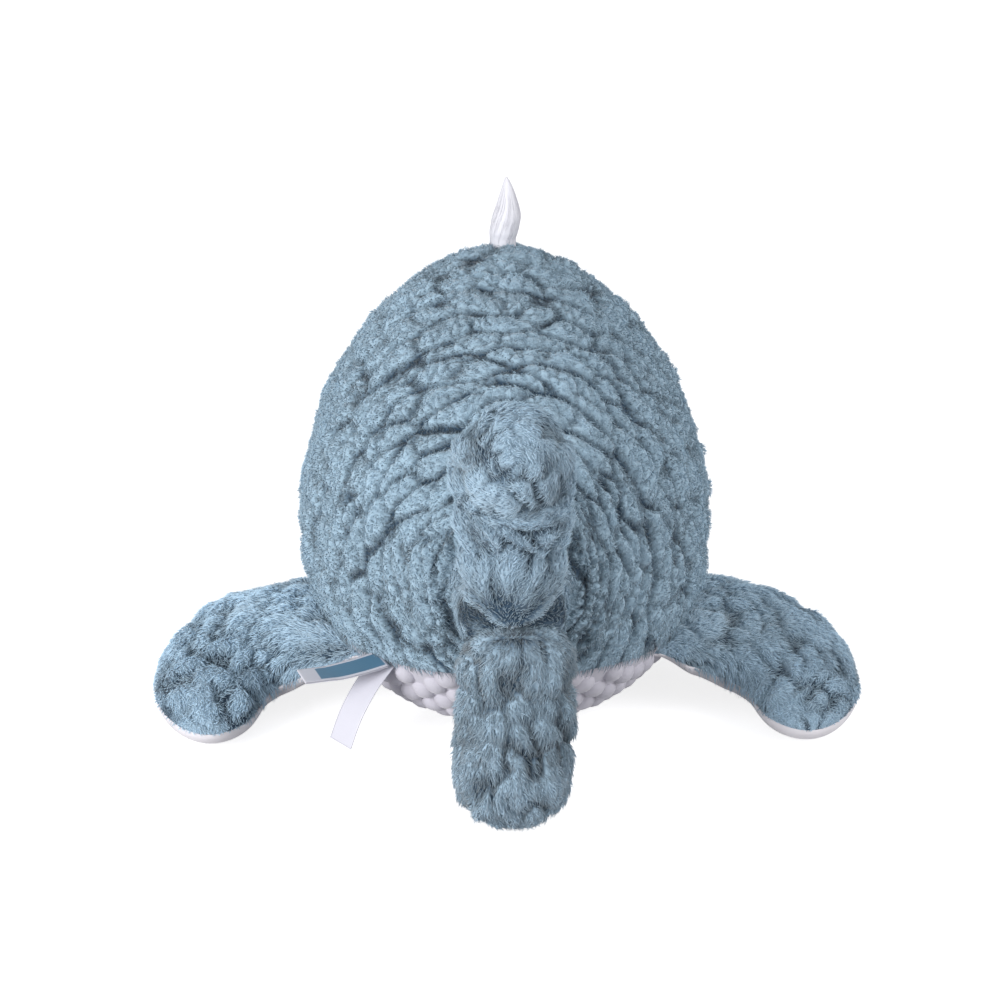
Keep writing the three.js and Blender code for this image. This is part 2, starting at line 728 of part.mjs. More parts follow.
// A label: a strip whose root edge runs along the side seam, just clear of the torso.
function label(name, length, width, lift, shares) {
  const seat = onTorso(-1, -labelBehind, seamHeight(-labelBehind));
  const across = seat.forwards;
  seat.point.z += lift;
  const start = seated(seat, across.clone().multiplyScalar(width / 2), labelThickness / 2 + clearance);
  const outwards = vec(-across.y, across.x, 0);
  const [out, run, rise] = shares;
  const spine = out.map((share, i) =>
    start
      .clone()
      .addScaledVector(outwards, length * share)
      .addScaledVector(across, length * run[i])
      .addScaledVector(vec(0, 0, 1), length * rise[i]),
  );
  const rings = spine.map((point, i) => {
    const before = spine[Math.max(0, i - 1)];
    const after = spine[Math.min(spine.length - 1, i + 1)];
    const ahead = after.clone().sub(before).normalize();
    const square = across.clone().addScaledVector(ahead, -across.dot(ahead)).normalize();
    const edge = i > 0 ? square : across;
    const facing = ahead.cross(edge).normalize();
    const corner = (along, through) =>
      point
        .clone()
        .addScaledVector(edge, (along * width) / 2)
        .addScaledVector(facing, (through * labelThickness) / 2);
    return [corner(1, 1), corner(-1, 1), corner(-1, -1), corner(1, -1)];
  });
  const strip = solid(loft(rings, middleOf(rings[0]), middleOf(rings.at(-1))));
  add(name, strip, satin, hinged(name + "_swing", start, across));
}

backPanel(-1, "left");
backPanel(1, "right");
add("belly_panel", torsoShell.intersect(underSeam), dimpledFabric);
bodyFilling();
eyeParts(-1, "left");
eyeParts(1, "right");
flipper(-1, "left");
flipper(1, "right");
const tail = tailStock();
fluke(tail, 1, "upper", upperFlukeBackShares, upperFlukeRiseShares);
fluke(tail, -1, "lower", lowerFlukeBackShares, lowerFlukeDropShares);
spout();
label("name_label", nameLabelLength, nameLabelWidth, labelSpacing / 2, [
  nameLabelOutShares,
  nameLabelRunShares,
  nameLabelRiseShares,
]);
label("care_label", careLabelLength, careLabelWidth, -labelSpacing / 2, [
  careLabelOutShares,
  careLabelRunShares,
  careLabelRiseShares,
]);

export default whale;
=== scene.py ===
"""A plush whale on its belly: pile fabric in wavy ridges, combed pile on flippers and tail, a raised-dot
belly, velour undersides, a silky tuft for the spout, bead eyes and two satin labels. Lengths are in
millimetres until a mesh is made. Every surface is a function of two parameters on a grid."""

import json
from itertools import product

import bmesh
import bpy
import numpy as np
from bpy.props import FloatProperty, FloatVectorProperty, IntProperty, PointerProperty
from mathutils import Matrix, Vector


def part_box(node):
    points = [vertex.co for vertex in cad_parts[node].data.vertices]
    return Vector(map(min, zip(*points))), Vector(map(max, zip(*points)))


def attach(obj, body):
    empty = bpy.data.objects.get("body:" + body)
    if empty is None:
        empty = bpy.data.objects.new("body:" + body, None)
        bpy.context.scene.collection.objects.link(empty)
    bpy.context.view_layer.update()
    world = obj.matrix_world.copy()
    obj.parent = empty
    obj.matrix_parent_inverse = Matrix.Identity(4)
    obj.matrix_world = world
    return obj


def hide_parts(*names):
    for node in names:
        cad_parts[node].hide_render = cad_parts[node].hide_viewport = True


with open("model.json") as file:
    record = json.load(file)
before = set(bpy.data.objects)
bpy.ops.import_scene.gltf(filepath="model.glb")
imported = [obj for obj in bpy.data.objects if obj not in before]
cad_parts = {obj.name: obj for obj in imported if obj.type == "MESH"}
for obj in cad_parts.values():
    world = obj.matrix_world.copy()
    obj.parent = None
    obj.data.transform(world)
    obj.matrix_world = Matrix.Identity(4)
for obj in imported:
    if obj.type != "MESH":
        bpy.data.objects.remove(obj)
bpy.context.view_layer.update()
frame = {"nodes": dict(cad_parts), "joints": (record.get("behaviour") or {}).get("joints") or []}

bl_info = {
    "name": "Plush Whale",
    "version": (1, 0, 0),
    "blender": (4, 5, 0),
    "location": "3D View > Sidebar > Whale",
    "description": "Builds the pile, dots, velour, tuft, eyes and labels of a plush whale round its frame",
    "category": "Object",
}

MM = 0.001
UP = np.array([0.0, 0.0, 1.0])
ACROSS = np.array([1.0, 0.0, 0.0])
AHEAD = np.array([0.0, 1.0, 0.0])
HALF_TURN = np.pi
QUARTER_TURN = np.pi / 2


def linear(colour):
    """An sRGB hex colour such as "#8199ac" as linear red, green and blue."""
    srgb = np.array([int(colour[i : i + 2], 16) for i in (1, 3, 5)]) / 255
    low = srgb / 12.92
    high = ((srgb + 0.055) / 1.055) ** 2.4
    return tuple(float(c) for c in np.where(srgb <= 0.04045, low, high))


# What the frame says

JOINTS = {joint["name"]: joint for joint in frame["joints"]}


def box_of(*nodes):
    """Lowest and highest corner of some CAD nodes together."""
    corners = np.array([[list(corner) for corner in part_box(node)] for node in nodes]) / MM
    return corners[:, 0].min(axis=0), corners[:, 1].max(axis=0)


def hinge_of(joint):
    """A joint's place and the direction of its axis."""
    return np.array(JOINTS[joint]["pos_m"]) / MM, np.array(JOINTS[joint]["axis"], float)


FLOOR_FLAT = 0.5

# Torso
torso_low, torso_high = box_of("back_panel_left", "back_panel_right", "belly_panel")
REAR_Y = torso_low[1]
NOSE_Y = torso_high[1]
TORSO_LENGTH = NOSE_Y - REAR_Y
TORSO_WIDTH = torso_high[0] - torso_low[0]
TORSO_HEIGHT = torso_high[2]
WIDEST_SHARE = 0.56
NOSE_HEIGHT_SHARE = 0.36
REAR_SHARES = [0, 0.12, 0.28, 0.45, 0.65, 0.85, 1]
REAR_WIDTH_SHARES = [0.36, 0.54, 0.74, 0.865, 0.955, 0.99, 1]
REAR_TOP_SHARES = [0.655, 0.75, 0.845, 0.91, 0.965, 0.993, 1]
REAR_BOTTOM_SHARES = [0.305, 0.15, 0.04, 0.008, 0, 0, 0]
REAR_MIDDLE_SHARES = [0.475, 0.46, 0.42, 0.39, 0.37, 0.36, 0.36]
SEAM_PLACE_SHARES = [0, 0.15, 0.4, 0.65, 0.85, 1]
SEAM_HEIGHT_SHARES = [0.235, 0.205, 0.185, 0.2, 0.24, 0.3]
CROWN_POWER = 1.8
BELLY_POWER = 2.4
SNOUT_POWER = 2.3
CHIN_POWER = 3

# Flippers
FLIPPER_LENGTH = 114
FLIPPER_ROOT_RADIUS = 8
FLIPPER_THICKNESS = 33
FLIPPER_CHORD = 70
FLIPPER_STATION_SHARES = [0, 0.2, 0.42, 0.64, 0.84, 1]
FLIPPER_OUT_SHARES = [0, 0.16, 0.31, 0.43, 0.48, 0.48]
FLIPPER_BACK_SHARES = [0, -0.01, 0.09, 0.29, 0.57, 0.8]
FLIPPER_DROP_SHARES = [0, 0.3, 0.58, 0.8, 0.94, 1]
FLIPPER_TURN_SHARES = [0, 0.13, 0.33, 0.57, 0.82, 1]
FLIPPER_CHORD_SHARES = [1.22, 1.2, 1.12, 0.93, 0.73, 0.64]
FLIPPER_SWELL_SHARES = [0, 0.75, 1, 0.96, 0.84, 0.68]
FLIPPER_TIP_SHARE = 0.76

# Tail
stock_low, stock_high = box_of("tail_stock_cover")
PIVOT = hinge_of("tail_lift")[0]
STOCK_RADIUS = stock_high[0]
STOCK_LENGTH = PIVOT[1] - stock_low[1]
STOCK_PLACE_SHARES = [0, 0.25, 0.5, 0.75, 1]
STOCK_WIDTH_SHARES = [1, 0.94, 0.89, 0.86, 0.8]
STOCK_HEIGHT_SHARES = [1, 0.92, 0.86, 0.86, 0.8]
STOCK_END_SHARE = 0.72
FLUKE_LENGTH = 74
FLUKE_ROOT_RADIUS = 21
FLUKE_ROOT_CHORD = 44
FLUKE_THICKNESS = 53
FLUKE_CHORD = 54
FLUKE_STATION_SHARES = [0, 0.22, 0.46, 0.72, 1]
UPPER_FLUKE_BACK_SHARES = [0, 0.04, 0.13, 0.33, 0.7]
UPPER_FLUKE_RISE_SHARES = [0, 0.2, 0.43, 0.64, 0.74]
LOWER_FLUKE_BACK_SHARES = [0, 0.02, 0.04, 0.07, 0.1]
LOWER_FLUKE_DROP_SHARES = [0, 0.22, 0.46, 0.72, 1]
FLUKE_SWELL_SHARES = [0, 0.8, 1, 0.98, 0.9]
FLUKE_TIP_SHARE = 0.62
FLUKE_TURN_SHARE = 0.25

# Spout, eyes and labels
spout_high = box_of("spout_tuft")[1]
SPOUT_ROOT = hinge_of("spout_bend")[0]
SPOUT_HEIGHT = spout_high[2] - SPOUT_ROOT[2]
SPOUT_WIDTH = 15
SPOUT_PLACE_SHARES = [0, 0.12, 0.3, 0.52, 0.74, 0.9, 1]
SPOUT_WIDTH_SHARES = [0.9, 1, 1, 0.78, 0.48, 0.22, 0.02]
SPOUT_LEAN_SHARES = [0, 0.02, 0.05, 0.07, 0.07, 0.06, 0.05]
EYE_AHEAD = 118
EYE_HEIGHT = 80
EYE_RADIUS = 6
EYE_DOME = 4.2
EYE_SEAT_DEPTH = 1
SHANK_RADIUS = 1.6
SHANK_DEPTH = 6.3
LABEL_THICKNESS = 1
NAME_LABEL_LENGTH = 41
NAME_LABEL_WIDTH = 16
CARE_LABEL_LENGTH = 45
CARE_LABEL_WIDTH = 15
LABEL_STATION_SHARES = [0, 1 / 3, 2 / 3, 1]
NAME_LABEL_SHARES = [[0, 0.31, 0.61, 0.88], [0, 0.13, 0.28, 0.42], [0, -0.05, -0.08, -0.08]]
CARE_LABEL_SHARES = [[0, 0.27, 0.46, 0.57], [0, 0.02, 0.05, 0.08], [0, -0.24, -0.52, -0.79]]

# How the covers are made
BACKING_THICKNESS = 1.2
LINING_STEP = 6
TORSO_ROWS = 331
TORSO_COLUMNS = 229
RIM_ROWS = 12
RIM_SHARE = 0.7
LIMB_ROWS = 97
LIMB_COLUMNS = 144
ROOT_ROWS = 12

# Camera and stage
CAMERA_DISTANCE = 1500
CAMERA_ELEVATION = 20
CAMERA_TURN = 1
AIM = np.array([-2.5, 0, 89])
SENSOR_WIDTH = 36
FOCAL_SHARE = 3


# The whale's sizes and colours that a user would change


def length_property(name, description, millimetres):
    return FloatProperty(
        name=name, description=description, default=millimetres * MM, min=0, unit="LENGTH", precision=4
    )


def colour_property(name, description, colour):
    return FloatVectorProperty(
        name=name, description=description, default=linear(colour), subtype="COLOR", size=3, min=0, max=1
    )


class WhalePile(bpy.types.PropertyGroup):
    depth: length_property("Pile depth", "How deep the lining lies under the seams' surface", 6)
    stand: length_property("Pile height", "How far the pads of pile stand above the seams' surface", 0.2)
    crack_depth: length_property("Crack depth", "How deep the cracks between two pads of pile are", 5.4)
    pad_width: length_property("Pad width", "Width of one pad of pile on the rump, from crack to crack", 9.2)
    pad_length: length_property("Pad length", "Length of one pad of pile round the body", 24)
    lock_radius: length_property("Lock radius", "Half the width of one lock of fibres", 0.19)
    wisp: length_property("Wisp size", "Width of the wisps in the combed pile", 6.5)
    back_locks: IntProperty(
        name="Locks on each side", description="Locks of pile on each back panel", default=74000, min=1000
    )
    limb_locks: IntProperty(
        name="Locks on a fluke", description="Locks of pile on each fluke", default=20500, min=1000
    )


class WhaleColours(bpy.types.PropertyGroup):
    pile_tip: colour_property("Pile tips", "Colour at the tips of the pile", "#a3bccd")
    # Painted shade: the root colour darkens each lock towards its root and the dense pile in its cracks.
    pile_root_shade: colour_property("Pile roots", "Colour at the roots of the pile", "#32475a")
    combed_tip: colour_property("Combed tips", "Colour at the tips of the limbs' combed pile", "#aec7d9")
    belly: colour_property("Belly", "Colour of the raised-dot fabric", "#c3c0ca")
    velour: colour_property("Velour", "Colour of the flippers' undersides", "#dfdbe0")
    tuft: colour_property("Spout", "Colour of the silky tuft", "#d8d7de")
    label: colour_property("Label", "Colour of the satin labels", "#cdccd6")
    panel: colour_property("Label panel", "Colour of the plain panel on the name label", "#3f6f8c")


# Grids of points


def unit(vectors):
    """Vectors scaled to length one."""
    return vectors / np.maximum(np.linalg.norm(vectors, axis=-1, keepdims=True), 1e-9)


def between(low, high, share):
    return low + (high - low) * share


def eased(low, high, value):
    """0 below low, 1 above high, and the cubic 3s^2 - 2s^3 between them."""
    share = np.clip((value - low) / (high - low), 0, 1)
    return share * share * (3 - 2 * share)


def smooth(xs, ys):
    """A curve through the points (xs, ys) that never swings past them: cubic pieces whose slope at each point
    is the harmonic mean of the slopes on its two sides, or level where these differ in sign."""
    xs, ys = np.array(xs, float), np.array(ys, float)
    slopes = np.diff(ys) / np.diff(xs)
    before, after = slopes[:-1], slopes[1:]
    level = before * after <= 0
    inner = np.where(level, 0, 2 * before * after / np.where(level, 1, before + after))
    tangents = np.concatenate([slopes[:1], inner, slopes[-1:]])

    def curve(x):
        x = np.clip(np.asarray(x, float), xs[0], xs[-1])
        i = np.clip(np.searchsorted(xs, x, side="right") - 1, 0, len(slopes) - 1)
        span = xs[i + 1] - xs[i]
        u = (x - xs[i]) / span
        rise = 3 * u**2 - 2 * u**3
        return (
            ys[i] * (1 - rise)
            + ys[i + 1] * rise
            + tangents[i] * span * (u**3 - 2 * u**2 + u)
            + tangents[i + 1] * span * (u**3 - u**2)
        )

    return curve


def fall_off(q, power):
    """The quarter of a superellipse: 1 at q = 0, falling to 0 at q = 1."""
    return (1 - np.clip(q, 0, 1) ** power) ** (1 / power)


def noise(points, size, seed):
    """Smooth noise from -1 to 1: random values on a lattice with cells of the given size, eased between
    corners."""
    lattice = np.random.default_rng(seed).uniform(-1, 1, 65536)
    place = points / size
    cell = np.floor(place).astype(np.int64)
    share = place - cell
    share = share * share * (3 - 2 * share)
    total = np.zeros(points.shape[:-1])
    for corner in product((0, 1), repeat=3):
        at = cell + np.array(corner)
        mixed = (at[..., 0] * 73856093) ^ (at[..., 1] * 19349663) ^ (at[..., 2] * 83492791)
        weight = np.where(np.array(corner) == 1, share, 1 - share).prod(axis=-1)
        total += lattice[mixed & 65535] * weight
    return total


def cells(places, seed):
    """For each place, one random centre being in each unit cell of a lattice: how much further the next
    centre is than the nearest one, the way to the nearest, its random number, and the share of the first axis
    in the direction from one of the two centres to the other."""
    steps = (73856093, 19349663, 83492791)
    size = places.shape[-1]
    lattice = np.random.default_rng(seed).uniform(0, 1, (65536, size + 1))
    cell = np.floor(places).astype(np.int64)
    near = np.full(places.shape[:-1], np.inf)
    second = near.copy()
    way = np.zeros(places.shape)
    next_way = np.zeros(places.shape)
    mark = np.zeros(near.shape)
    for step in product((-1, 0, 1), repeat=size):
        at = cell + np.array(step)
        mixed = np.bitwise_xor.reduce(at * np.array(steps[:size]), axis=-1) & 65535
        to_centre = at + lattice[mixed, :size] - places
        distance = np.linalg.norm(to_centre, axis=-1)
        closer = distance < near
        runner_up = ~closer & (distance < second)
        next_way = np.where(closer[..., None], way, np.where(runner_up[..., None], to_centre, next_way))
        second = np.where(closer, near, np.minimum(second, distance))
        near = np.where(closer, distance, near)
        way = np.where(closer[..., None], to_centre, way)
        mark = np.where(closer, lattice[mixed, size], mark)
    return second - near, way, mark, np.abs(unit(next_way - way)[..., 0])


def normals_of(points, inside):
    """Unit normals of a grid of points, away from the given inner points: the cross product of the
    differences along rows and columns. Where a row has shrunk to a point, the way out from the inner point
    stands in."""
    outwards = unit(points - inside)
    along = np.gradient(points, axis=0)
    across = np.gradient(points, axis=1)
    normal = np.cross(along, across)
    size = np.linalg.norm(normal, axis=-1, keepdims=True)
    flat = size < 1e-3 * size.max()
    normal = np.where(flat, outwards, normal / np.maximum(size, 1e-12))
    facing = np.sign((normal * outwards).sum(axis=-1).mean()) or 1
    normal = np.where(flat, normal, normal * facing)
    return unit(normal)


class Surface:
    """A grid of points with its normals and with the unit directions along its rows and across them. Places
    holds each point's run along the form and its offsets in the section there."""

    def __init__(self, points, inside, places=None):
        self.points = points
        self.inside = inside
        self.places = places
        self.normals = normals_of(points, inside)
        along = np.gradient(points, axis=0)
        self.along = unit(along - self.normals * (along * self.normals).sum(-1, keepdims=True))
        self.across = np.cross(self.normals, self.along)

    def drawn_in(self, depth):
        """The points moved inwards along their normals."""
        return self.points - self.normals * np.broadcast_to(depth, self.points.shape[:2])[..., None]

    def raised(self, height):
        """The same grid moved outwards along its normals, with its own new normals."""
        return Surface(self.drawn_in(-height), self.inside, self.places)


def run_of(points):
    """Length from the first row of a grid to each row, as the mean of its columns' steps added up."""
    steps = np.linalg.norm(np.diff(points, axis=0), axis=-1).mean(axis=1)
    return np.concatenate([[0], np.cumsum(steps)])[:, None] + np.zeros(points.shape[:2])


def width_of(points):
    """Length from the first column of a grid to each point along its row."""
    steps = np.linalg.norm(np.diff(points, axis=1), axis=-1)
    return np.concatenate([np.zeros((len(points), 1)), np.cumsum(steps, axis=1)], axis=1)


def torso_outline(y):
    """Half the torso's width, and its top, bottom and widest heights, at places y along it. Ahead of its
    widest place each falls to the nose as the quarter of a superellipse, and behind it each follows its
    table."""
    widest = REAR_Y + TORSO_LENGTH * WIDEST_SHARE
    nose = TORSO_HEIGHT * NOSE_HEIGHT_SHARE
    ahead = np.clip((y - widest) / (NOSE_Y - widest), 0, 1)
    share = np.clip((y - REAR_Y) / (widest - REAR_Y), 0, 1)
    width, top, bottom, middle = (
        smooth(REAR_SHARES, table)(share)
        for table in (REAR_WIDTH_SHARES, REAR_TOP_SHARES, REAR_BOTTOM_SHARES, REAR_MIDDLE_SHARES)
    )
    half = TORSO_WIDTH / 2 * width * fall_off(ahead, SNOUT_POWER)
    top = between(nose, TORSO_HEIGHT * top, fall_off(ahead, CROWN_POWER))
    bottom = between(nose, TORSO_HEIGHT * bottom - FLOOR_FLAT, fall_off(ahead, CHIN_POWER))
    return half, top, bottom, TORSO_HEIGHT * middle


def torso_point(y, angle):
    """The torso's surface: at y an ellipse above its widest height and a fuller superellipse below."""
    half, top, bottom, middle = torso_outline(y)
    over = np.sin(angle) > 0
    power = 2 / np.where(over, CROWN_POWER, BELLY_POWER)
    reach = np.where(over, top - middle, middle - bottom)
    x = half * np.sign(np.cos(angle)) * np.abs(np.cos(angle)) ** power
    z = middle + reach * np.sign(np.sin(angle)) * np.abs(np.sin(angle)) ** power
    return np.stack([x, y + 0 * angle, z], axis=-1)


def seam_angle(y):
    """The angle, from 0 down to a quarter turn, at which the side seam crosses the torso's section at y."""
    _, _, bottom, middle = torso_outline(y)
    share = (y - REAR_Y) / TORSO_LENGTH
    height = TORSO_HEIGHT * smooth(SEAM_PLACE_SHARES, SEAM_HEIGHT_SHARES)(share)
    drop = np.clip((middle - height) / np.maximum(middle - bottom, 1e-6), 0, 1)
    return np.arcsin(drop ** (BELLY_POWER / 2))


def torso_places(rows):
    """Places along the torso, even behind its widest place and closing in on the nose ahead of it."""
    widest = REAR_Y + TORSO_LENGTH * WIDEST_SHARE
    behind = np.linspace(REAR_Y, widest, round(rows * WIDEST_SHARE), endpoint=False)
    ahead = np.linspace(0, QUARTER_TURN, rows - len(behind))
    return np.concatenate([behind, widest + (NOSE_Y - widest) * np.sin(ahead)])


def back_surface(side, rows=TORSO_ROWS, columns=TORSO_COLUMNS):
    """One back panel: rows from its rim round the tail to the nose, columns from the side seam to the top."""
    y = torso_places(rows - RIM_ROWS)[:, None]
    share = np.linspace(0, 1, columns)[None, :]
    angle = between(-seam_angle(y), QUARTER_TURN, share)
    angle = angle if side > 0 else HALF_TURN - angle
    points = torso_point(y, angle)
    shrink = np.linspace(RIM_SHARE, 1, RIM_ROWS, endpoint=False)[:, None, None]
    rim = between(np.array([0, REAR_Y, PIVOT[2]]), points[0], shrink)
    points = np.concatenate([rim, points])
    middle = torso_outline(points[:, :1, 1])[3]
    inside = np.stack([0 * middle, np.clip(points[:, :1, 1], REAR_Y + 30, NOSE_Y - 60), middle], axis=-1)
    return Surface(points, inside)


def eye_place(side):
    """The point of the torso's surface under an eye, and the normal there."""
    angle = np.linspace(-QUARTER_TURN, QUARTER_TURN, 721)
    line = torso_point(np.full(721, float(EYE_AHEAD)), angle)
    i = int(np.argmin(np.abs(line[:, 2] - EYE_HEIGHT)))
    step = 0.5
    ahead, behind = (torso_point(np.array([EYE_AHEAD + way]), angle[i : i + 1])[0] for way in (step, -step))
    normal = unit(np.cross(ahead - behind, line[i + 1] - line[i - 1]))
    normal = normal * np.sign(normal[0])
    mirror = np.array([side, 1, 1])
    return line[i] * mirror, normal * mirror


# Limbs: ellipses along a spine


class Spine:
    """A limb's spine. at(share) gives its middle, its chord and rise directions, half its chord and half its
    rise. Root rows close it round its hinge with the given radius, backwards along root_way. A skirt makes
    them reach further, with squarer ends, and moves them by skirt_way while their chord shrinks by
    skirt_shrink."""

    def __init__(self, at, root_way, root_radius, tip_share):
        self.at = at
        self.root_way = root_way
        self.root_radius = root_radius
        self.root_reach = root_radius
        self.root_power = 2
        self.skirt_way = np.zeros(3)
        self.skirt_shrink = 0
        self.tip_share = tip_share

    def with_skirt(self, reach, way, shrink):
        self.root_reach = reach
        self.root_power = 3
        self.skirt_way = np.array(way)
        self.skirt_shrink = shrink
        return self

    def rows(self, count):
        """Middles, directions and half sizes of the rows from the closed root to the closed tip."""
        turn = np.linspace(QUARTER_TURN, 0, ROOT_ROWS, endpoint=False)
        first = self.at(np.zeros(ROOT_ROWS))
        back = np.sin(turn)
        root = (
            first[0] - np.outer(self.root_reach * back, self.root_way) + np.outer(back**2, self.skirt_way),
            first[1],
            first[2],
            first[3] * (1 - self.skirt_shrink * back**2),
            self.root_radius * fall_off(back, self.root_power),
        )
        share = np.sin(np.linspace(0, QUARTER_TURN, count))
        middle, chord_way, rise_way, half_chord, half_rise = self.at(share)
        closing = fall_off((share - self.tip_share) / (1 - self.tip_share), 2)
        body = (middle, chord_way, rise_way, half_chord * closing, half_rise * closing)
        return [np.concatenate(pair) for pair in zip(root, body)]

    def surface(self, angles, rows=LIMB_ROWS):
        """The limb's surface with a row for each place on the spine and a column for each angle."""
        middle, chord_way, rise_way, half_chord, half_rise = self.rows(rows)
        points = (
            middle[:, None]
            + chord_way[:, None] * (half_chord[:, None] * np.cos(angles))[..., None]
            + rise_way[:, None] * (half_rise[:, None] * np.sin(angles))[..., None]
        )
        inside = middle.copy()
        inside[:3] += self.root_way * self.root_radius
        inside[-3:] = middle[-12]
        run = np.concatenate([[0], np.cumsum(np.linalg.norm(np.diff(middle, axis=0), axis=-1))])
        places = np.stack(
            np.broadcast_arrays(
                run[:, None], half_chord[:, None] * np.cos(angles), half_rise[:, None] * np.sin(angles)
            ),
            axis=-1,
        )
        return Surface(points, inside[:, None], places)


def dropped_to_floor(hinge, spine_for):
    """The whole drop at which a limb's lowest point lies as deep as the floor flattens it."""
    drop = hinge[2]
    for _ in range(8):
        lowest = spine_for(drop).surface(np.linspace(0, 2 * HALF_TURN, 49)).points[..., 2].min()
        drop *= (hinge[2] + FLOOR_FLAT) / (hinge[2] - lowest)
    return drop


def flipper_spine(side, fuller=0):
    """A flipper sweeps out, back and down from its hinge, and its chord turns from forwards to outwards.
    Fuller is how much wider its pile makes it behind."""
    hinge, axis = hinge_of(("left" if side < 0 else "right") + "_flipper_flap")
    forwards = unit(axis * np.sign(axis[1]))
    outwards = side * np.array([forwards[1], -forwards[0], 0])
    tables = (
        FLIPPER_OUT_SHARES,
        FLIPPER_BACK_SHARES,
        FLIPPER_DROP_SHARES,
        FLIPPER_TURN_SHARES,
        FLIPPER_CHORD_SHARES,
        FLIPPER_SWELL_SHARES,
    )
    out, back, drop, turn, chord, swell = (smooth(FLIPPER_STATION_SHARES, table) for table in tables)

    def spine_for(full_drop):
        def at(share):
            middle = (
                hinge
                + np.outer(FLIPPER_LENGTH * out(share), outwards)
                - np.outer(FLIPPER_LENGTH * back(share), forwards)
                - np.outer(full_drop * drop(share), UP)
            )
            angle = QUARTER_TURN * turn(share)
            chord_way = np.outer(np.cos(angle), forwards) + np.outer(np.sin(angle), outwards)
            half_rise = between(FLIPPER_ROOT_RADIUS, FLIPPER_THICKNESS / 2, swell(share))
            rise_way = np.broadcast_to(UP, middle.shape)
            gain = (fuller / 2 * eased(0.02, 0.2, share) * (1 - eased(0.4, 0.75, share)))[:, None]
            half_chord = FLIPPER_CHORD / 2 * chord(share) + gain[:, 0]
            return middle - chord_way * gain, chord_way, rise_way, half_chord, half_rise

        return Spine(at, outwards, FLIPPER_ROOT_RADIUS, FLIPPER_TIP_SHARE)

    return spine_for(dropped_to_floor(hinge, spine_for))


def fluke_spine(way):
    """A fluke goes up or down from the tail stock and bends back, its sections turning square to its
    spine."""
    name, back_shares, rise_shares = (
        ("upper", UPPER_FLUKE_BACK_SHARES, UPPER_FLUKE_RISE_SHARES)
        if way > 0
        else ("lower", LOWER_FLUKE_BACK_SHARES, LOWER_FLUKE_DROP_SHARES)
    )
    hinge = hinge_of(name + "_fluke_bend")[0]
    back, rise, swell = (
        smooth(FLUKE_STATION_SHARES, table) for table in (back_shares, rise_shares, FLUKE_SWELL_SHARES)
    )
    probe = 0.002

    def spine_for(full_rise):
        def middle_at(share):
            ahead = np.outer(FLUKE_LENGTH * back(share), AHEAD)
            return hinge - ahead + np.outer(way * full_rise * rise(share), UP)

        def at(share):
            middle = middle_at(share)
            step = middle_at(np.minimum(1, share + probe)) - middle_at(np.maximum(0, share - probe))
            square = unit(np.stack([0 * step[:, 2], way * step[:, 2], -way * step[:, 1]], axis=-1))
            turned = np.minimum(1, share / FLUKE_TURN_SHARE)[:, None]
            half_rise = between(FLUKE_ROOT_RADIUS, FLUKE_THICKNESS / 2, swell(share))
            half_chord = between(FLUKE_ROOT_CHORD, FLUKE_CHORD, swell(share)) / 2
            rise_way = np.broadcast_to(ACROSS, middle.shape)
            return middle, unit(between(AHEAD, square, turned)), rise_way, half_chord, half_rise

        return Spine(at, way * UP, FLUKE_ROOT_RADIUS, FLUKE_TIP_SHARE)

    return spine_for(FLUKE_LENGTH if way > 0 else dropped_to_floor(hinge, spine_for))


def stock_surface(rows=LIMB_ROWS, columns=LIMB_COLUMNS):
    """The tail stock: a half ball in the torso's hollow, then rings that taper back and close."""
    angles = np.linspace(0, 2 * HALF_TURN, columns + 1)
    turn = np.linspace(QUARTER_TURN, 0, rows // 3, endpoint=False)
    share = np.sin(np.linspace(0, QUARTER_TURN, rows))
    closing = fall_off((share - STOCK_END_SHARE) / (1 - STOCK_END_SHARE), 2)
    width = np.concatenate([np.cos(turn), closing * smooth(STOCK_PLACE_SHARES, STOCK_WIDTH_SHARES)(share)])
    height = np.concatenate([np.cos(turn), closing * smooth(STOCK_PLACE_SHARES, STOCK_HEIGHT_SHARES)(share)])
    back = np.concatenate([-STOCK_RADIUS * np.sin(turn), STOCK_LENGTH * share])[:, None]
    points = np.stack(
        [
            PIVOT[0] + STOCK_RADIUS * width[:, None] * np.cos(angles),
            PIVOT[1] - back + 0 * angles,
            PIVOT[2] + STOCK_RADIUS * height[:, None] * np.sin(angles),
        ],
        axis=-1,
    )
    inside = PIVOT - np.array([0, 1, 0]) * np.clip(back, 0, STOCK_LENGTH / 2)[..., None]
    places = points - PIVOT
    return Surface(points, inside, np.stack([-places[..., 1], places[..., 0], places[..., 2]], axis=-1))


# Meshes


def mesh_from(name, points, faces, uv=None, marks=None):
    """A smooth mesh from points in millimetres and faces of three or more corners, -1 standing for no corner.
    uv holds a pair for each point, and marks holds numbers for each point by name."""
    mesh = bpy.data.meshes.new(name)
    counts = (faces >= 0).sum(axis=1)
    corners = faces[faces >= 0]
    mesh.vertices.add(len(points))
    mesh.vertices.foreach_set("co", (points * MM).astype(np.float32).ravel())
    mesh.loops.add(len(corners))
    mesh.loops.foreach_set("vertex_index", corners.astype(np.int32))
    mesh.polygons.add(len(faces))
    mesh.polygons.foreach_set("loop_start", np.concatenate([[0], np.cumsum(counts)[:-1]]).astype(np.int32))
    mesh.polygons.foreach_set("use_smooth", np.ones(len(faces), bool))
    if uv is not None:
        layer = mesh.uv_layers.new(name="OFBake")
        layer.data.foreach_set("uv", uv[corners].astype(np.float32).ravel())
    for mark, values in (marks or {}).items():
        held = mesh.attributes.new(mark, "FLOAT", "POINT")
        held.data.foreach_set("value", values.astype(np.float32).ravel())
    mesh.update(calc_edges=True)
    mesh.validate()
    return mesh


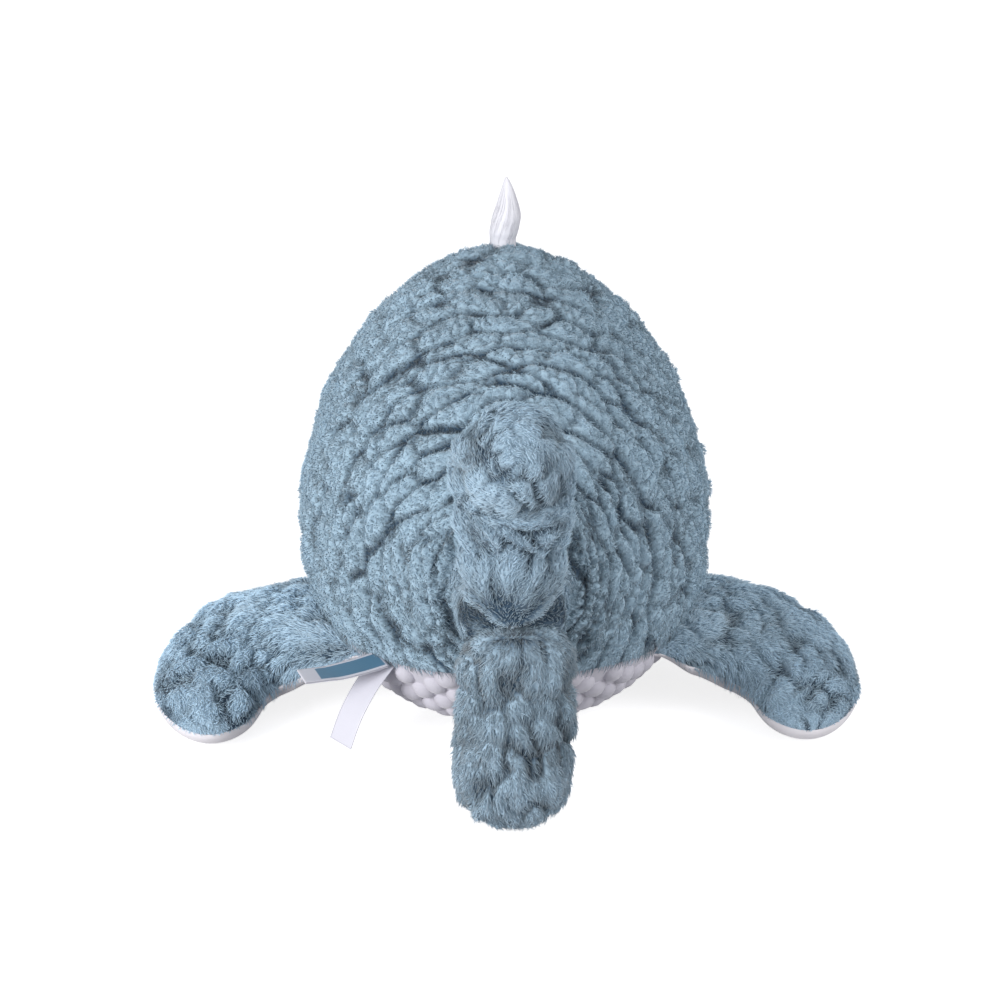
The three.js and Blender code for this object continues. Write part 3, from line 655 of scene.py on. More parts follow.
def grid_faces(rows, columns, start=0):
    """The four-cornered faces of a grid of points numbered row by row."""
    corner = start + np.arange(rows * columns).reshape(rows, columns)
    return np.stack(
        [corner[:-1, :-1], corner[1:, :-1], corner[1:, 1:], corner[:-1, 1:]], axis=-1
    ).reshape(-1, 4)


def facing(points, faces, outwards):
    """The faces turned so that they look the way that the outward directions at their corners do."""
    a, b, c = (points[faces[:, i]] for i in range(3))
    normal = np.cross(b - a, c - a)
    agree = (normal * outwards[faces[:, 0]]).sum()
    return faces if agree > 0 else faces[:, ::-1]


def shell(outer, normals, thickness, step=1):
    """Points and faces of a closed shell under a grid: the grid, a coarser copy of it drawn in, and walls of
    many-cornered faces round the edge. Also the map: the grid on its left, the copy in a strip on its
    right."""
    rows, columns = outer.shape[:2]
    depth = np.broadcast_to(thickness, (rows, columns))[..., None]
    inner = (outer - normals * depth)[::step, ::step]
    points = np.concatenate([outer.reshape(-1, 3), inner.reshape(-1, 3)])
    top = facing(points, grid_faces(rows, columns), normals.reshape(-1, 3))
    flip = top[0, 1] != grid_faces(rows, columns)[0, 1]
    bottom = grid_faces(*inner.shape[:2], start=rows * columns)
    bottom = bottom if flip else bottom[:, ::-1]

    def edge(grid):
        return np.concatenate([grid[0, :-1], grid[:-1, -1], grid[-1, :0:-1], grid[:0:-1, 0]])

    fine = edge(np.arange(rows * columns).reshape(rows, columns))
    coarse = edge(rows * columns + np.arange(inner.shape[0] * inner.shape[1]).reshape(inner.shape[:2]))
    many = np.arange(0, len(fine), step)[:, None] + np.arange(step + 1)[None]
    wall = np.concatenate([fine[many % len(fine)], np.roll(coarse, -1)[:, None], coarse[:, None]], axis=1)
    wall = wall[:, ::-1] if flip else wall
    faces = np.full((len(top) + len(bottom) + len(wall), step + 3), -1)
    faces[: len(top), :4] = top
    faces[len(top) : len(top) + len(bottom), :4] = bottom
    faces[len(top) + len(bottom) :] = wall

    def flat(grid, left, right):
        down, across = np.meshgrid(*(np.linspace(0, 1, size) for size in grid.shape[:2]), indexing="ij")
        return np.stack([between(left, right, across), down], axis=-1).reshape(-1, 2)

    return points, faces, np.concatenate([flat(outer, 0, 0.93), flat(inner, 0.95, 1)])


def closed_faces(points, outwards):
    """Faces of a grid whose first and last columns meet and whose first and last rows are single points."""
    rows, columns = points.shape[:2]
    return facing(points.reshape(-1, 3), grid_faces(rows, columns), outwards.reshape(-1, 3))


def merged(mesh, distance=0.02):
    """The mesh with its doubled points joined and the faces that this empties removed."""
    work = bmesh.new()
    work.from_mesh(mesh)
    bmesh.ops.remove_doubles(work, verts=work.verts, dist=distance * MM)
    bmesh.ops.dissolve_degenerate(work, edges=work.edges, dist=distance * MM / 4)
    work.to_mesh(mesh)
    work.free()
    return mesh


def piece(name, mesh, material, body, slot, *replaced):
    """A named piece of the whale that moves with a body and stands for CAD nodes."""
    thing = bpy.data.objects.new(name, mesh)
    bpy.context.scene.collection.objects.link(thing)
    mesh.materials.append(material)
    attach(thing, body)
    if replaced:
        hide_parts(*replaced)
    return thing


# Pile: a raised cover of dense fibre, and the locks that stand out of it


class Cover:
    """Pile on a surface. Relief is 0 in the cracks and 1 on the pads, height is how far the pile stands above
    the surface, and mark is a random number of each pad. Top is the pile's own surface. The materials paint
    the pile dark where the relief is low, as painted shade."""

    def __init__(self, surface, relief, height, mark):
        self.surface = surface
        self.relief = relief
        self.height = height
        self.mark = mark
        self.top = surface.raised(height)

    def marks(self, inner=0):
        """What the material reads at each point, with as many more points of a lining."""
        ends = np.zeros(inner)
        return {
            # The relief sets the painted shade in the cracks.
            "relief": np.concatenate([self.relief.ravel(), ends]),
            "pad": np.concatenate([self.mark.ravel(), ends]),
        }


def above_floor(points):
    return np.concatenate([points[..., :2], np.maximum(points[..., 2:], 0)], axis=-1)


def cracked(gap, gate):
    """Pads from a cell pattern: 1 minus a crack, where the nearest two centres are about as near, that the
    gate fades. Each pad is a little domed."""
    pad = 0.72 * eased(0.03, 0.34, gap) + 0.28 * np.clip(gap, 0, 1)
    return 1 - (1 - pad) * gate


DEEPEST = 5
RUMP_WAY = np.array([0, -0.94, 0.34])
BEND_SIZE = 30
KINK_SIZE = 10
HOOP_BEND = 7
HOOP_KINK = 1.5
AROUND_BEND = 8
AROUND_KINK = 2
NARROWEST_SHARE = 0.14
OWN_WIDTH_SHARE = 0.35
PATCH_SIZE = 12
HOOP_TUFT = 4.3
AROUND_TUFT = 5
HEAD_PAD = 17
HEAD_TUFT = 6.5
HEAD_STARTS = 50
HEAD_WHOLE = 115
FOLDS_A_RADIAN = 5
FOLD_LENGTH = 42
FOLDS_START = 14
FOLDS_END = 50
LUMP_SIZE = 17
SMALL_LUMP_SIZE = 7
SEAM_FADE = 11
RIM_FADE = 10


def crack_strength(surface):
    """How strong the body's cracks are: they come and go in patches, and are weaker on the head and where the
    surface doesn't face the way that the rump does."""
    points = surface.points
    gate = between(0.55, 1, eased(-0.5, 0.1, noise(points, PATCH_SIZE, 16)))
    gate = gate * between(1, 0.6, eased(30, 110, points[..., 1]))
    return gate * between(0.5, 1, eased(-0.1, 0.35, surface.normals @ RUMP_WAY))


def hoop_pads(pile, hoop, around, gate):
    """Pads along the hoops, each lower towards the tail and, as painted shade, darker there: their relief and
    each pad's random number. Cracks between two hoops are stronger than those across a hoop."""
    pads = np.stack([hoop / (pile.pad_width / MM), around / (pile.pad_length / MM)], axis=-1)
    gap, way, mark, hoopwise = cells(pads, 15)
    relief = cracked(gap, gate * between(0.5, 1, eased(0.25, 0.8, hoopwise)))
    # The lowered relief also darkens the colour there: painted shade.
    return relief * (1 - 0.3 * eased(0, 0.7, -way[..., 0])), mark


def tail_folds(points, run, warp, gate):
    """Folds that run out from the tail's root."""
    angle = np.arctan2(points[..., 2] - PIVOT[2], points[..., 0])
    radial = np.stack([angle * FOLDS_A_RADIAN, run / FOLD_LENGTH], axis=-1)
    gap, _, _, foldwise = cells(radial + warp, 17)
    return cracked(gap, gate * between(0.15, 0.9, foldwise))


def tufted(relief, points, hoop, around, ahead):
    """The body's relief with small tufts in it, which are round on the head."""
    gap, _, tuft, hoopwise = cells(np.stack([hoop / HOOP_TUFT, around / AROUND_TUFT], axis=-1), 20)
    small = cracked(gap, (0.55 + 0.35 * noise(points, PATCH_SIZE, 21)) * between(0.5, 1, hoopwise))
    gap, _, _, _ = cells(points / HEAD_TUFT, 23)
    small = between(small, cracked(gap, 0.4), ahead)
    return relief * between(0.3, 1.08, small) * between(0.86, 1.08, tuft)


def back_cover(side, pile):
    """The pile of a back panel. Its pads lie round the body like hoops, narrow on the rump and wider along
    the flanks. Round the tail they turn into folds that run out from it, and on the head into round tufts.
    The pile thins out at the seam, round the eye and at the rim."""
    surface = back_surface(side)
    points = surface.points
    run = run_of(points)
    squarely = (surface.normals @ RUMP_WAY) ** 2
    narrow = np.sqrt(between(NARROWEST_SHARE, 1, squarely))
    narrow = between(narrow.mean(axis=1, keepdims=True), narrow, OWN_WIDTH_SHARE)
    hoop = np.cumsum(np.diff(run, axis=0, prepend=0) * narrow, axis=0)
    from_seam = width_of(points)
    from_top = side * (from_seam[:, -1:] - from_seam)
    bend = np.stack([noise(points, BEND_SIZE, 11), noise(points, BEND_SIZE, 12)], axis=-1)
    kink = np.stack([noise(points, KINK_SIZE, 13), noise(points, KINK_SIZE, 14)], axis=-1)
    hoop = hoop + narrow * (HOOP_BEND * bend[..., 0] + HOOP_KINK * kink[..., 0])
    around = from_top + AROUND_BEND * bend[..., 1] + AROUND_KINK * kink[..., 1]
    gate = crack_strength(surface)
    hoops, mark = hoop_pads(pile, hoop, around, gate)
    folds = tail_folds(points, run, 1.1 * bend + 0.4 * kink, gate)
    near_tail = 0.25 - 0.25 * eased(FOLDS_START, FOLDS_END, run)
    relief = between(hoops, folds, near_tail)
    ahead = eased(HEAD_STARTS, HEAD_WHOLE, points[..., 1])
    gap, _, _, _ = cells(points / HEAD_PAD, 22)
    relief = between(relief, cracked(gap, 0.6 * gate), ahead)
    relief = tufted(relief, points, hoop, around, ahead)
    lump = noise(points, LUMP_SIZE, 18) + 0.5 * noise(points, SMALL_LUMP_SIZE, 19)
    depth = pile.crack_depth / MM * between(1.25, 1, squarely)
    height = pile.stand / MM - depth * (1 - relief) + 1.2 * lump + 0.9 * (mark - 0.3)
    height = np.maximum(height, -DEEPEST)
    height = between(-0.5, height, eased(0, SEAM_FADE, from_seam))
    height = between(-0.8, height, eased(0, RIM_FADE, run))
    eye, _ = eye_place(side)
    from_eye = np.linalg.norm(points - eye, axis=-1)
    seat = -EYE_SEAT_DEPTH - 0.2
    height = between(seat, height, eased(EYE_RADIUS + 0.5, 2.6 * EYE_RADIUS, from_eye))
    cover = Cover(surface, relief, height, mark)
    cover.from_seam = from_seam
    cover.run = run
    return cover


class Roots:
    """Places spread evenly over a cover, sunk a little into it: their points, normals and directions, and
    there the value of every grid that is handed over by name."""

    def __init__(self, cover, sink, count, seed, **grids):
        draw = np.random.default_rng(seed)
        top = cover.top
        grid = top.points
        first = grid[1:, 1:] - grid[:-1, :-1]
        second = grid[1:, :-1] - grid[:-1, 1:]
        area = np.linalg.norm(np.cross(first, second), axis=-1) / 2
        total = np.cumsum(area.ravel())
        chosen = np.searchsorted(total, (np.arange(count) + draw.random(count)) / count * total[-1])
        row, column = np.divmod(np.minimum(chosen, area.size - 1), area.shape[1])
        a, b = draw.random((2, count, 1))

        def spread(values):
            values = values.reshape(values.shape[0], values.shape[1], -1)
            low = between(values[row, column], values[row, column + 1], b)
            high = between(values[row + 1, column], values[row + 1, column + 1], b)
            return between(low, high, a)

        self.normals = unit(between(spread(cover.surface.normals), spread(top.normals), 0.6))
        self.points = spread(grid) - self.normals * sink
        along = spread(cover.surface.along)
        self.along = unit(along - self.normals * (along * self.normals).sum(axis=1, keepdims=True))
        self.across = np.cross(self.normals, self.along)
        self.draw = draw
        for name, values in {"relief": cover.relief, "mark": cover.mark, **grids}.items():
            setattr(self, name, spread(values)[:, 0])

    def part(self, which):
        """Some of the roots as their own set."""
        part = object.__new__(Roots)
        for name, value in vars(self).items():
            setattr(part, name, value[which] if isinstance(value, np.ndarray) else value)
        return part

    def __len__(self):
        return len(self.points)


def lock_mesh(name, root, middle, tip, radius, tone):
    """Locks of fibres as spindles: each has its root, three points round its middle and its tip, and six
    faces. The map holds the lock's tone across and the way from root to tip upwards. No point is under the
    floor."""
    count = len(root)
    axis = unit(tip - root)
    side = unit(np.cross(axis, unit(np.stack([axis[:, 1], axis[:, 2], -axis[:, 0]], axis=-1) + 0.31)))
    other = np.cross(axis, side)
    turns = np.arange(3) * 2 * HALF_TURN / 3 + (np.arange(count) % 7)[:, None]
    ring = middle[:, None] + radius[:, None, None] * (
        np.cos(turns)[..., None] * side[:, None] + np.sin(turns)[..., None] * other[:, None]
    )
    points = np.concatenate([root[:, None], ring, tip[:, None]], axis=1).reshape(-1, 3)
    pattern = np.array([[0, 2, 1], [0, 3, 2], [0, 1, 3], [4, 1, 2], [4, 2, 3], [4, 3, 1]])
    faces = (pattern[None] + 5 * np.arange(count)[:, None, None]).reshape(-1, 3)
    breadth = 0.012
    across = np.array([0, -1, 0, 1, 0]) * breadth
    upwards = np.array([0.01, 0.5, 0.54, 0.5, 0.99])
    across = between(breadth, 1 - breadth, tone)[:, None] + across
    uv = np.stack(np.broadcast_arrays(across, upwards), axis=-1)
    return mesh_from(name, points, faces, uv.reshape(-1, 2))


def grown(name, roots, rise, lay, radius, tone):
    """Locks that stand up from their roots by rise along the normal and lean over by the vector lay. Locks
    that would reach the floor are left out."""
    middle = roots.points + roots.normals * (0.62 * rise)[:, None] + 0.3 * lay
    tip = roots.points + roots.normals * rise[:, None] + lay
    clear = np.minimum(middle[:, 2] - radius, tip[:, 2]) > 0
    tone = np.clip(tone[clear], 0, 1)
    return lock_mesh(name, roots.points[clear], middle[clear], tip[clear], radius[clear], tone)


def turned(direction, normal, angle):
    """Directions turned about their normals."""
    return direction * np.cos(angle)[:, None] + np.cross(normal, direction) * np.sin(angle)[:, None]


def drawn_together(points, normals, size, seed):
    """The way from each point to the middle of its wisp, level with the surface."""
    _, way, mark, _ = cells(points / size, seed)
    way = way * size
    return way - normals * (way * normals).sum(axis=1, keepdims=True), mark


def back_locks(side, cover, pile, material):
    """The fine locks on one back panel's pile, in three pieces from rump to head. They stand up and lean a
    little towards the tail, lie down in the folds round it, and hang over the side seam."""
    name = side_name(side)
    roots = Roots(cover, 0.7, pile.back_locks, 100 + side, from_seam=cover.from_seam, run=cover.run)
    eye, _ = eye_place(side)
    from_eye = np.linalg.norm(roots.points - eye, axis=1)
    roots = roots.part((from_eye > EYE_RADIUS + 0.9) & (roots.run > 1.5))
    from_eye = np.linalg.norm(roots.points - eye, axis=1)
    draw = roots.draw
    count = len(roots)
    near_tail = 1 - eased(10, 55, roots.run)
    swing = 1.2 * noise(roots.points, 11, 41) + draw.normal(0, 0.7, count)
    tailwards = turned(-roots.along, roots.normals, swing)
    pull, _ = drawn_together(roots.points, roots.normals, 5.0, 31)
    lean = (1.3 + 1.3 * draw.random(count)) * between(1, 1.6, near_tail)
    lay = tailwards * lean[:, None] + 0.3 * pull
    upwards = unit(UP - roots.normals * roots.normals[:, 2:3])
    over_seam = 1 - eased(0, 7, roots.from_seam)
    hang = between(3.2, 5.4, eased(158, 172, roots.points[:, 1]))
    lay = lay - upwards * (hang * over_seam)[:, None]
    rise = 1.3 + 0.9 * draw.random(count) + 0.4 * roots.relief
    rise = rise + 1.1 * (draw.random(count) < 0.05)
    round_eye = eased(EYE_RADIUS, 3 * EYE_RADIUS, from_eye)
    rise = rise * between(0.7, 1, round_eye)
    lay = lay * between(0.4, 1, round_eye)[:, None]
    # The relief darkens the locks in the cracks as painted shade; the mark, the noise and the draw give
    # random tone.
    tone = -0.09 + 0.95 * roots.relief + 0.06 * roots.mark + 0.08 * noise(roots.points, 30, 51)
    tone = tone + 0.15 * noise(roots.points, 2.6, 52)
    tone = tone + draw.normal(0, 0.07, count)
    radius = pile.lock_radius / MM * between(0.75, 1.25, draw.random(count))
    bands = np.argsort(roots.points[:, 1], kind="stable")
    for part, band in zip(("rump", "flank", "head"), np.array_split(bands, 3)):
        mesh = grown(f"{part}_pile_{name}", roots.part(band), rise[band], lay[band], radius[band], tone[band])
        piece(mesh.name, mesh, material, "torso", "fur", "back_panel_" + name)


def limb_cover(surface, pile, seed, root_fade=10, wide=12, long=32, fade=None, folds=(), creases=()):
    """The combed pile of a limb: clumps that lie along it like shingles, each rising towards its end and
    painted darker at its low start as painted shade. A fold is a place, its reach and the height added there.
    A crease is a plane's normal and offset, its half width and its depth on the side that faces backwards,
    where it also paints the pile darker as painted shade. Fade thins the pile out, as at a seam."""
    points = surface.points
    run = surface.places[..., :1]
    bend = np.stack([noise(points, 19, seed + i) for i in range(3)], axis=-1)
    q = surface.places / np.array([long, wide, wide]) + np.array([0.8, 0.5, 0.5]) * bend
    gap, way, mark, _ = cells(q, seed + 4)
    relief = cracked(gap, between(0.25, 0.95, eased(-0.5, 0.4, noise(points, 13, seed + 5))))
    # Lower relief at each clump's start: lower pile, and painted shade in its colour.
    relief = relief * np.clip(0.95 - 0.25 * way[..., 0], 0.65, 1.05)
    wisps = surface.places / np.array([11, 4, 4]) + np.array([0.7, 1, 1]) * bend
    gap, _, wisp, _ = cells(wisps, seed + 8)
    relief = relief * between(0.84, 1.04, cracked(gap, 0.8)) * between(0.94, 1.06, wisp)
    lump = noise(points, 16, seed + 6) + 0.5 * noise(points, 6, seed + 7)
    height = pile.stand / MM - 0.95 * pile.crack_depth / MM * (1 - relief) + 0.9 * lump + 0.8
    for place, reach, rise in folds:
        off = np.linalg.norm(points - np.array(place), axis=-1) / reach
        height = height + rise * np.exp(-(off**2))
    for normal, offset, half, deep in creases:
        off = points @ np.array(normal) - offset + 5 * bend[..., 0] + 3 * bend[..., 1]
        line = np.exp(-((off / half) ** 2)) * np.clip(-1.3 * surface.normals[..., 1], 0, 1)
        height = height - deep * line
        # Painted shade: the crease darkens the pile's colour.
        relief = relief * (1 - min(0.32 * deep, 0.95) * line)
    height = between(-0.6, np.maximum(height, -DEEPEST), eased(0, root_fade, run[..., 0] - run.min()))
    if fade is not None:
        height = between(-0.3, height, fade)
    return Cover(surface, relief, height, mark)


def combed(
    name, cover, count, seed, pile, body, replaced, material,
    shade=0, paler_tip=0, swirl=0, keep=None, **grids
):
    """Combed locks of a limb: they lie towards the tip in wavy wisps, and go round it where swirl says. Shade
    is painted light or shade added to the tones of the whole piece, and paler_tip is painted light
    added to those near the tip. The relief darkens the locks in the cracks and creases as painted shade.
    Where a grid named hang is given, they lean out over that edge by as much."""
    roots = Roots(cover, 0.9, count, seed, run=cover.surface.places[..., 0], **grids)
    if keep is not None:
        roots = roots.part(keep(roots))
    draw = roots.draw
    count = len(roots)
    share = roots.run / roots.run.max()
    wave = 0.75 * noise(roots.points, 22, seed + 1) + 0.5 * noise(roots.points, 9, seed + 2)
    wave = wave + draw.normal(0, 0.3, count)
    if swirl:
        wave = wave + swirl * eased(0.6, 0.9, share)
    way = turned(roots.along, roots.normals, wave)
    pull, mark = drawn_together(roots.points + 5 * way, roots.normals, pile.wisp / MM, seed + 3)
    reach = 5 * (0.5 + 0.7 * draw.random(count)) * (1 - 0.5 * eased(0.84, 1, share))
    reach = reach * between(0.3, 1, eased(0, 14, roots.run - roots.run.min()))
    lay = way * reach[:, None] + 0.3 * pull
    rise = 1.6 + 1.1 * draw.random(count) + 0.5 * mark
    if "hang" in grids:
        lay = lay * between(0.5, 1, eased(0, 9, roots.from_seam))[:, None]
        lay = lay + roots.across * roots.hang[:, None]
    # Painted light and shade: the piece's shade, and the relief in the cracks; mark and noise are random
    # tone.
    tone = shade + 0.22 + 0.56 * roots.relief + 0.06 * mark + 0.1 * noise(roots.points, 22, seed + 4)
    # Painted light near the tip.
    tone = tone + paler_tip * eased(0.55, 0.8, share)
    tone = tone + draw.normal(0, 0.035, count)
    radius = pile.lock_radius / MM * between(0.9, 1.4, draw.random(count))
    mesh = grown(name, roots, rise, lay, radius, tone)
    return piece(name, mesh, material, body, "combed_fur", *replaced)


# Materials


def node(tree, kind, inputs=None, **settings):
    """Adds a node with its settings, and sets or links its inputs."""
    made = tree.nodes.new(kind)
    for name, value in settings.items():
        setattr(made, name, value)
    for name, value in (inputs or {}).items():
        socket = made.inputs[name]
        if isinstance(value, bpy.types.NodeSocket):
            tree.links.new(value, socket)
        else:
            socket.default_value = value
    return made


def grain_of(tree, place, per_millimetre, detail=2.0):
    """Noise with so many grains a millimetre."""
    return node(tree, "ShaderNodeTexNoise", {"Vector": place, "Scale": per_millimetre / MM, "Detail": detail})


def bump_of(tree, height, strength, millimetres):
    """Bump from a height, of the given strength and depth."""
    values = {"Height": height, "Strength": strength, "Distance": millimetres * MM}
    return node(tree, "ShaderNodeBump", values)


def times(tree, first, second):
    """The product of two values."""
    return node(tree, "ShaderNodeMath", {0: first, 1: second}, operation="MULTIPLY")


def new_material(name):
    """A material with an empty node tree, and that tree."""
    material = bpy.data.materials.new(name)
    material.use_nodes = True
    material.node_tree.nodes.clear()
    return material, material.node_tree


def finished(tree, inputs):
    """Ends a tree with a Principled shader."""
    shader = node(tree, "ShaderNodeBsdfPrincipled", inputs)
    node(tree, "ShaderNodeOutputMaterial", {"Surface": shader.outputs[0]})


def opaque(colour):
    return (*colour, 1.0)


def toned(tree, colour, shade):
    """A colour times a grey of the given brightness."""
    grey = node(tree, "ShaderNodeCombineXYZ", {"X": shade, "Y": shade, "Z": shade})
    mixed = node(
        tree,
        "ShaderNodeMix",
        {"Factor": 1.0, "A": colour, "B": grey.outputs[0]},
        data_type="RGBA",
        blend_type="MULTIPLY",
    )
    return mixed.outputs["Result"]


def pile_fibre(name, root, tip):
    """Polyester pile, single locks: pale and soft at the tip, and darker towards the root as painted shade.
    Each lock has its own tone, which holds painted shade in the cracks and painted light or shade of whole
    pieces as well as its random part."""
    material, tree = new_material(name)
    place = node(tree, "ShaderNodeUVMap", uv_map="OFBake")
    parts = node(tree, "ShaderNodeSeparateXYZ", {"Vector": place.outputs[0]})
    ramp = node(tree, "ShaderNodeValToRGB", {"Fac": parts.outputs["Y"]})
    stops = ramp.color_ramp.elements
    # The ramp's dark root end is painted shade deep in the pile.
    stops[0].color = opaque(between(np.array(root), np.array(tip), 0.72))
    stops[1].color = opaque(tip)
    stops[0].position = 0.1
    stops[1].position = 0.9
    # The tone makes each lock brighter or darker: painted light and shade as well as random tone.
    shade = node(tree, "ShaderNodeMapRange", {"Value": parts.outputs["X"], "To Min": 0.16, "To Max": 1.26})
    finished(
        tree,
        {
            "Base Color": toned(tree, ramp.outputs["Color"], shade.outputs[0]),
            "Roughness": 0.85,
            "Sheen Weight": 0.2,
            "Sheen Roughness": 0.6,
            "Specular IOR Level": 0.1,
        },
    )
    return material


def dense_pile(name, root, tip):
    """Dense polyester pile between the locks: its pads are as pale as the locks, and its cracks are painted
    dark with the root colour as painted shade. The grain is fibre ends half a millimetre to a millimetre
    apart, as bump and as faint specks."""
    material, tree = new_material(name)
    place = node(tree, "ShaderNodeTexCoord")
    relief = node(tree, "ShaderNodeAttribute", attribute_name="relief")
    pad = node(tree, "ShaderNodeAttribute", attribute_name="pad")
    # Painted shade: low relief, in the cracks, takes the dark root colour.
    ramp = node(tree, "ShaderNodeValToRGB", {"Fac": relief.outputs["Fac"]})
    stops = ramp.color_ramp.elements
    stops[0].color = opaque(root)
    stops[1].color = opaque(tip)
    stops[0].position = 0.12
    stops[1].position = 0.66
    grain = grain_of(tree, place.outputs["Object"], 1.1, 3.0)
    bounds = {"From Min": 0.3, "From Max": 0.7, "To Min": 0.9}
    specks = node(tree, "ShaderNodeMapRange", {"Value": grain.outputs["Fac"], **bounds})
    shade = node(tree, "ShaderNodeMath", {0: pad.outputs["Fac"], 1: 0.12, 2: 0.9}, operation="MULTIPLY_ADD")
    both = times(tree, specks.outputs[0], shade.outputs[0])
    bump = bump_of(tree, grain.outputs["Fac"], 0.25, 0.6)
    finished(
        tree,
        {
            "Base Color": toned(tree, ramp.outputs["Color"], both.outputs[0]),
            "Roughness": 0.9,
            "Sheen Weight": 0.35,
            "Sheen Roughness": 0.5,
            "Specular IOR Level": 0.2,
            "Normal": bump.outputs[0],
        },
    )
    return material


def raised_dot_fabric(colours):
    """Raised-dot minky: short brushed pile, matt, with a soft bright edge. Bump is the brushed pile."""
    material, tree = new_material("raised_dot_minky")
    place = node(tree, "ShaderNodeTexCoord")
    fuzz = grain_of(tree, place.outputs["Object"], 0.6, 4.0)
    patches = grain_of(tree, place.outputs["Object"], 0.05)
    ramp = node(tree, "ShaderNodeValToRGB", {"Fac": patches.outputs["Fac"]})
    ramp.color_ramp.elements[0].color = opaque([c * 0.9 for c in colours.belly])
    ramp.color_ramp.elements[1].color = opaque(colours.belly)
    bump = bump_of(tree, fuzz.outputs["Fac"], 0.5, 0.4)
    finished(
        tree,
        {
            "Base Color": ramp.outputs["Color"],
            "Roughness": 0.9,
            "Sheen Weight": 0.4,
            "Sheen Roughness": 0.4,
            "Normal": bump.outputs[0],
        },
    )
    return material


def brushed_velour(colours):
    """Velour: very short pile that lies in soft streaks."""
    material, tree = new_material("brushed_velour")
    place = node(tree, "ShaderNodeTexCoord")
    stretch = {"Vector": place.outputs["Object"], "Scale": (1.0, 0.35, 1.0)}
    stretched = node(tree, "ShaderNodeMapping", stretch)
    fuzz = grain_of(tree, stretched.outputs[0], 0.9, 3.0)
    streaks = grain_of(tree, stretched.outputs[0], 0.12)
    ramp = node(tree, "ShaderNodeValToRGB", {"Fac": streaks.outputs["Fac"]})
    ramp.color_ramp.elements[0].color = opaque([c * 0.88 for c in colours.velour])
    ramp.color_ramp.elements[1].color = opaque(colours.velour)
    bump = bump_of(tree, fuzz.outputs["Fac"], 0.4, 0.3)
    finished(
        tree,
        {
            "Base Color": ramp.outputs["Color"],
            "Roughness": 0.85,
            "Sheen Weight": 0.5,
            "Sheen Roughness": 0.35,
            "Normal": bump.outputs[0],
        },
    )
    return material


def silky_fibre(colours):
    """Silky acrylic tuft: long straight white fibres with a soft gloss."""
    material, tree = new_material("silky_acrylic")
    place = node(tree, "ShaderNodeUVMap", uv_map="OFBake")
    parts = node(tree, "ShaderNodeSeparateXYZ", {"Vector": place.outputs[0]})
    ramp = node(tree, "ShaderNodeValToRGB", {"Fac": parts.outputs["X"]})
    ramp.color_ramp.elements[0].color = opaque([c * 0.92 for c in colours.tuft])
    ramp.color_ramp.elements[1].color = opaque(colours.tuft)
    finished(tree, {"Base Color": ramp.outputs["Color"], "Roughness": 0.55, "Sheen Weight": 0.3})
    return material


def dense_silk(colours):
    """The dense middle of the silky tuft: fibres side by side, seen as faint grooves that run up it."""
    material, tree = new_material("dense_silky_acrylic")
    place = node(tree, "ShaderNodeTexCoord")
    drawn = node(tree, "ShaderNodeMapping", {"Vector": place.outputs["Object"], "Scale": (1.0, 1.0, 0.08)})
    fibres = grain_of(tree, drawn.outputs[0], 1.2, 2.0)
    ramp = node(tree, "ShaderNodeValToRGB", {"Fac": fibres.outputs["Fac"]})
    ramp.color_ramp.elements[0].color = opaque([c * 0.95 for c in colours.tuft])
    ramp.color_ramp.elements[1].color = opaque(colours.tuft)
    bump = bump_of(tree, fibres.outputs["Fac"], 0.08, 0.2)
    finished(
        tree,
        {
            "Base Color": ramp.outputs["Color"],
            "Roughness": 0.5,
            "Sheen Weight": 0.3,
            "Subsurface Weight": 0.3,
            "Subsurface Radius": (1.0, 1.0, 1.0),
            "Subsurface Scale": 2 * MM,
            "Normal": bump.outputs[0],
        },
    )
    return material


def bead_resin():
    """Polished black resin bead: deep black with a clear wet gloss, and a faint unevenness from the mould."""
    material, tree = new_material("polished_resin")
    place = node(tree, "ShaderNodeTexCoord")
    wave = grain_of(tree, place.outputs["Object"], 0.25)
    ramp = node(tree, "ShaderNodeValToRGB", {"Fac": wave.outputs["Fac"]})
    ramp.color_ramp.elements[0].color = opaque(linear("#060607"))
    ramp.color_ramp.elements[1].color = opaque(linear("#101013"))
    finished(tree, {"Base Color": ramp.outputs["Color"], "Roughness": 0.08, "Coat Weight": 0.6, "IOR": 1.53})
    return material


def moulded_nylon():
    """Moulded nylon washer: milky, with a slightly rough mould finish."""
    material, tree = new_material("moulded_nylon")
    place = node(tree, "ShaderNodeTexCoord")
    grain = grain_of(tree, place.outputs["Object"], 1.2)
    ramp = node(tree, "ShaderNodeValToRGB", {"Fac": grain.outputs["Fac"]})
    ramp.color_ramp.elements[0].color = opaque(linear("#d8d8d0"))
    ramp.color_ramp.elements[1].color = opaque(linear("#e8e8e2"))
    finished(tree, {"Base Color": ramp.outputs["Color"], "Roughness": 0.5})
    return material


def fibre_stuffing():
    """Polyester fibrefill: white, matt and clumped."""
    material, tree = new_material("polyester_fibrefill")
    place = node(tree, "ShaderNodeTexCoord")
    clumps = grain_of(tree, place.outputs["Object"], 0.1, 8.0)
    ramp = node(tree, "ShaderNodeValToRGB", {"Fac": clumps.outputs["Fac"]})
    ramp.color_ramp.elements[0].color = opaque(linear("#d9d8d2"))
    ramp.color_ramp.elements[1].color = opaque(linear("#f6f5f0"))
    finished(tree, {"Base Color": ramp.outputs["Color"], "Roughness": 1.0})
    return material


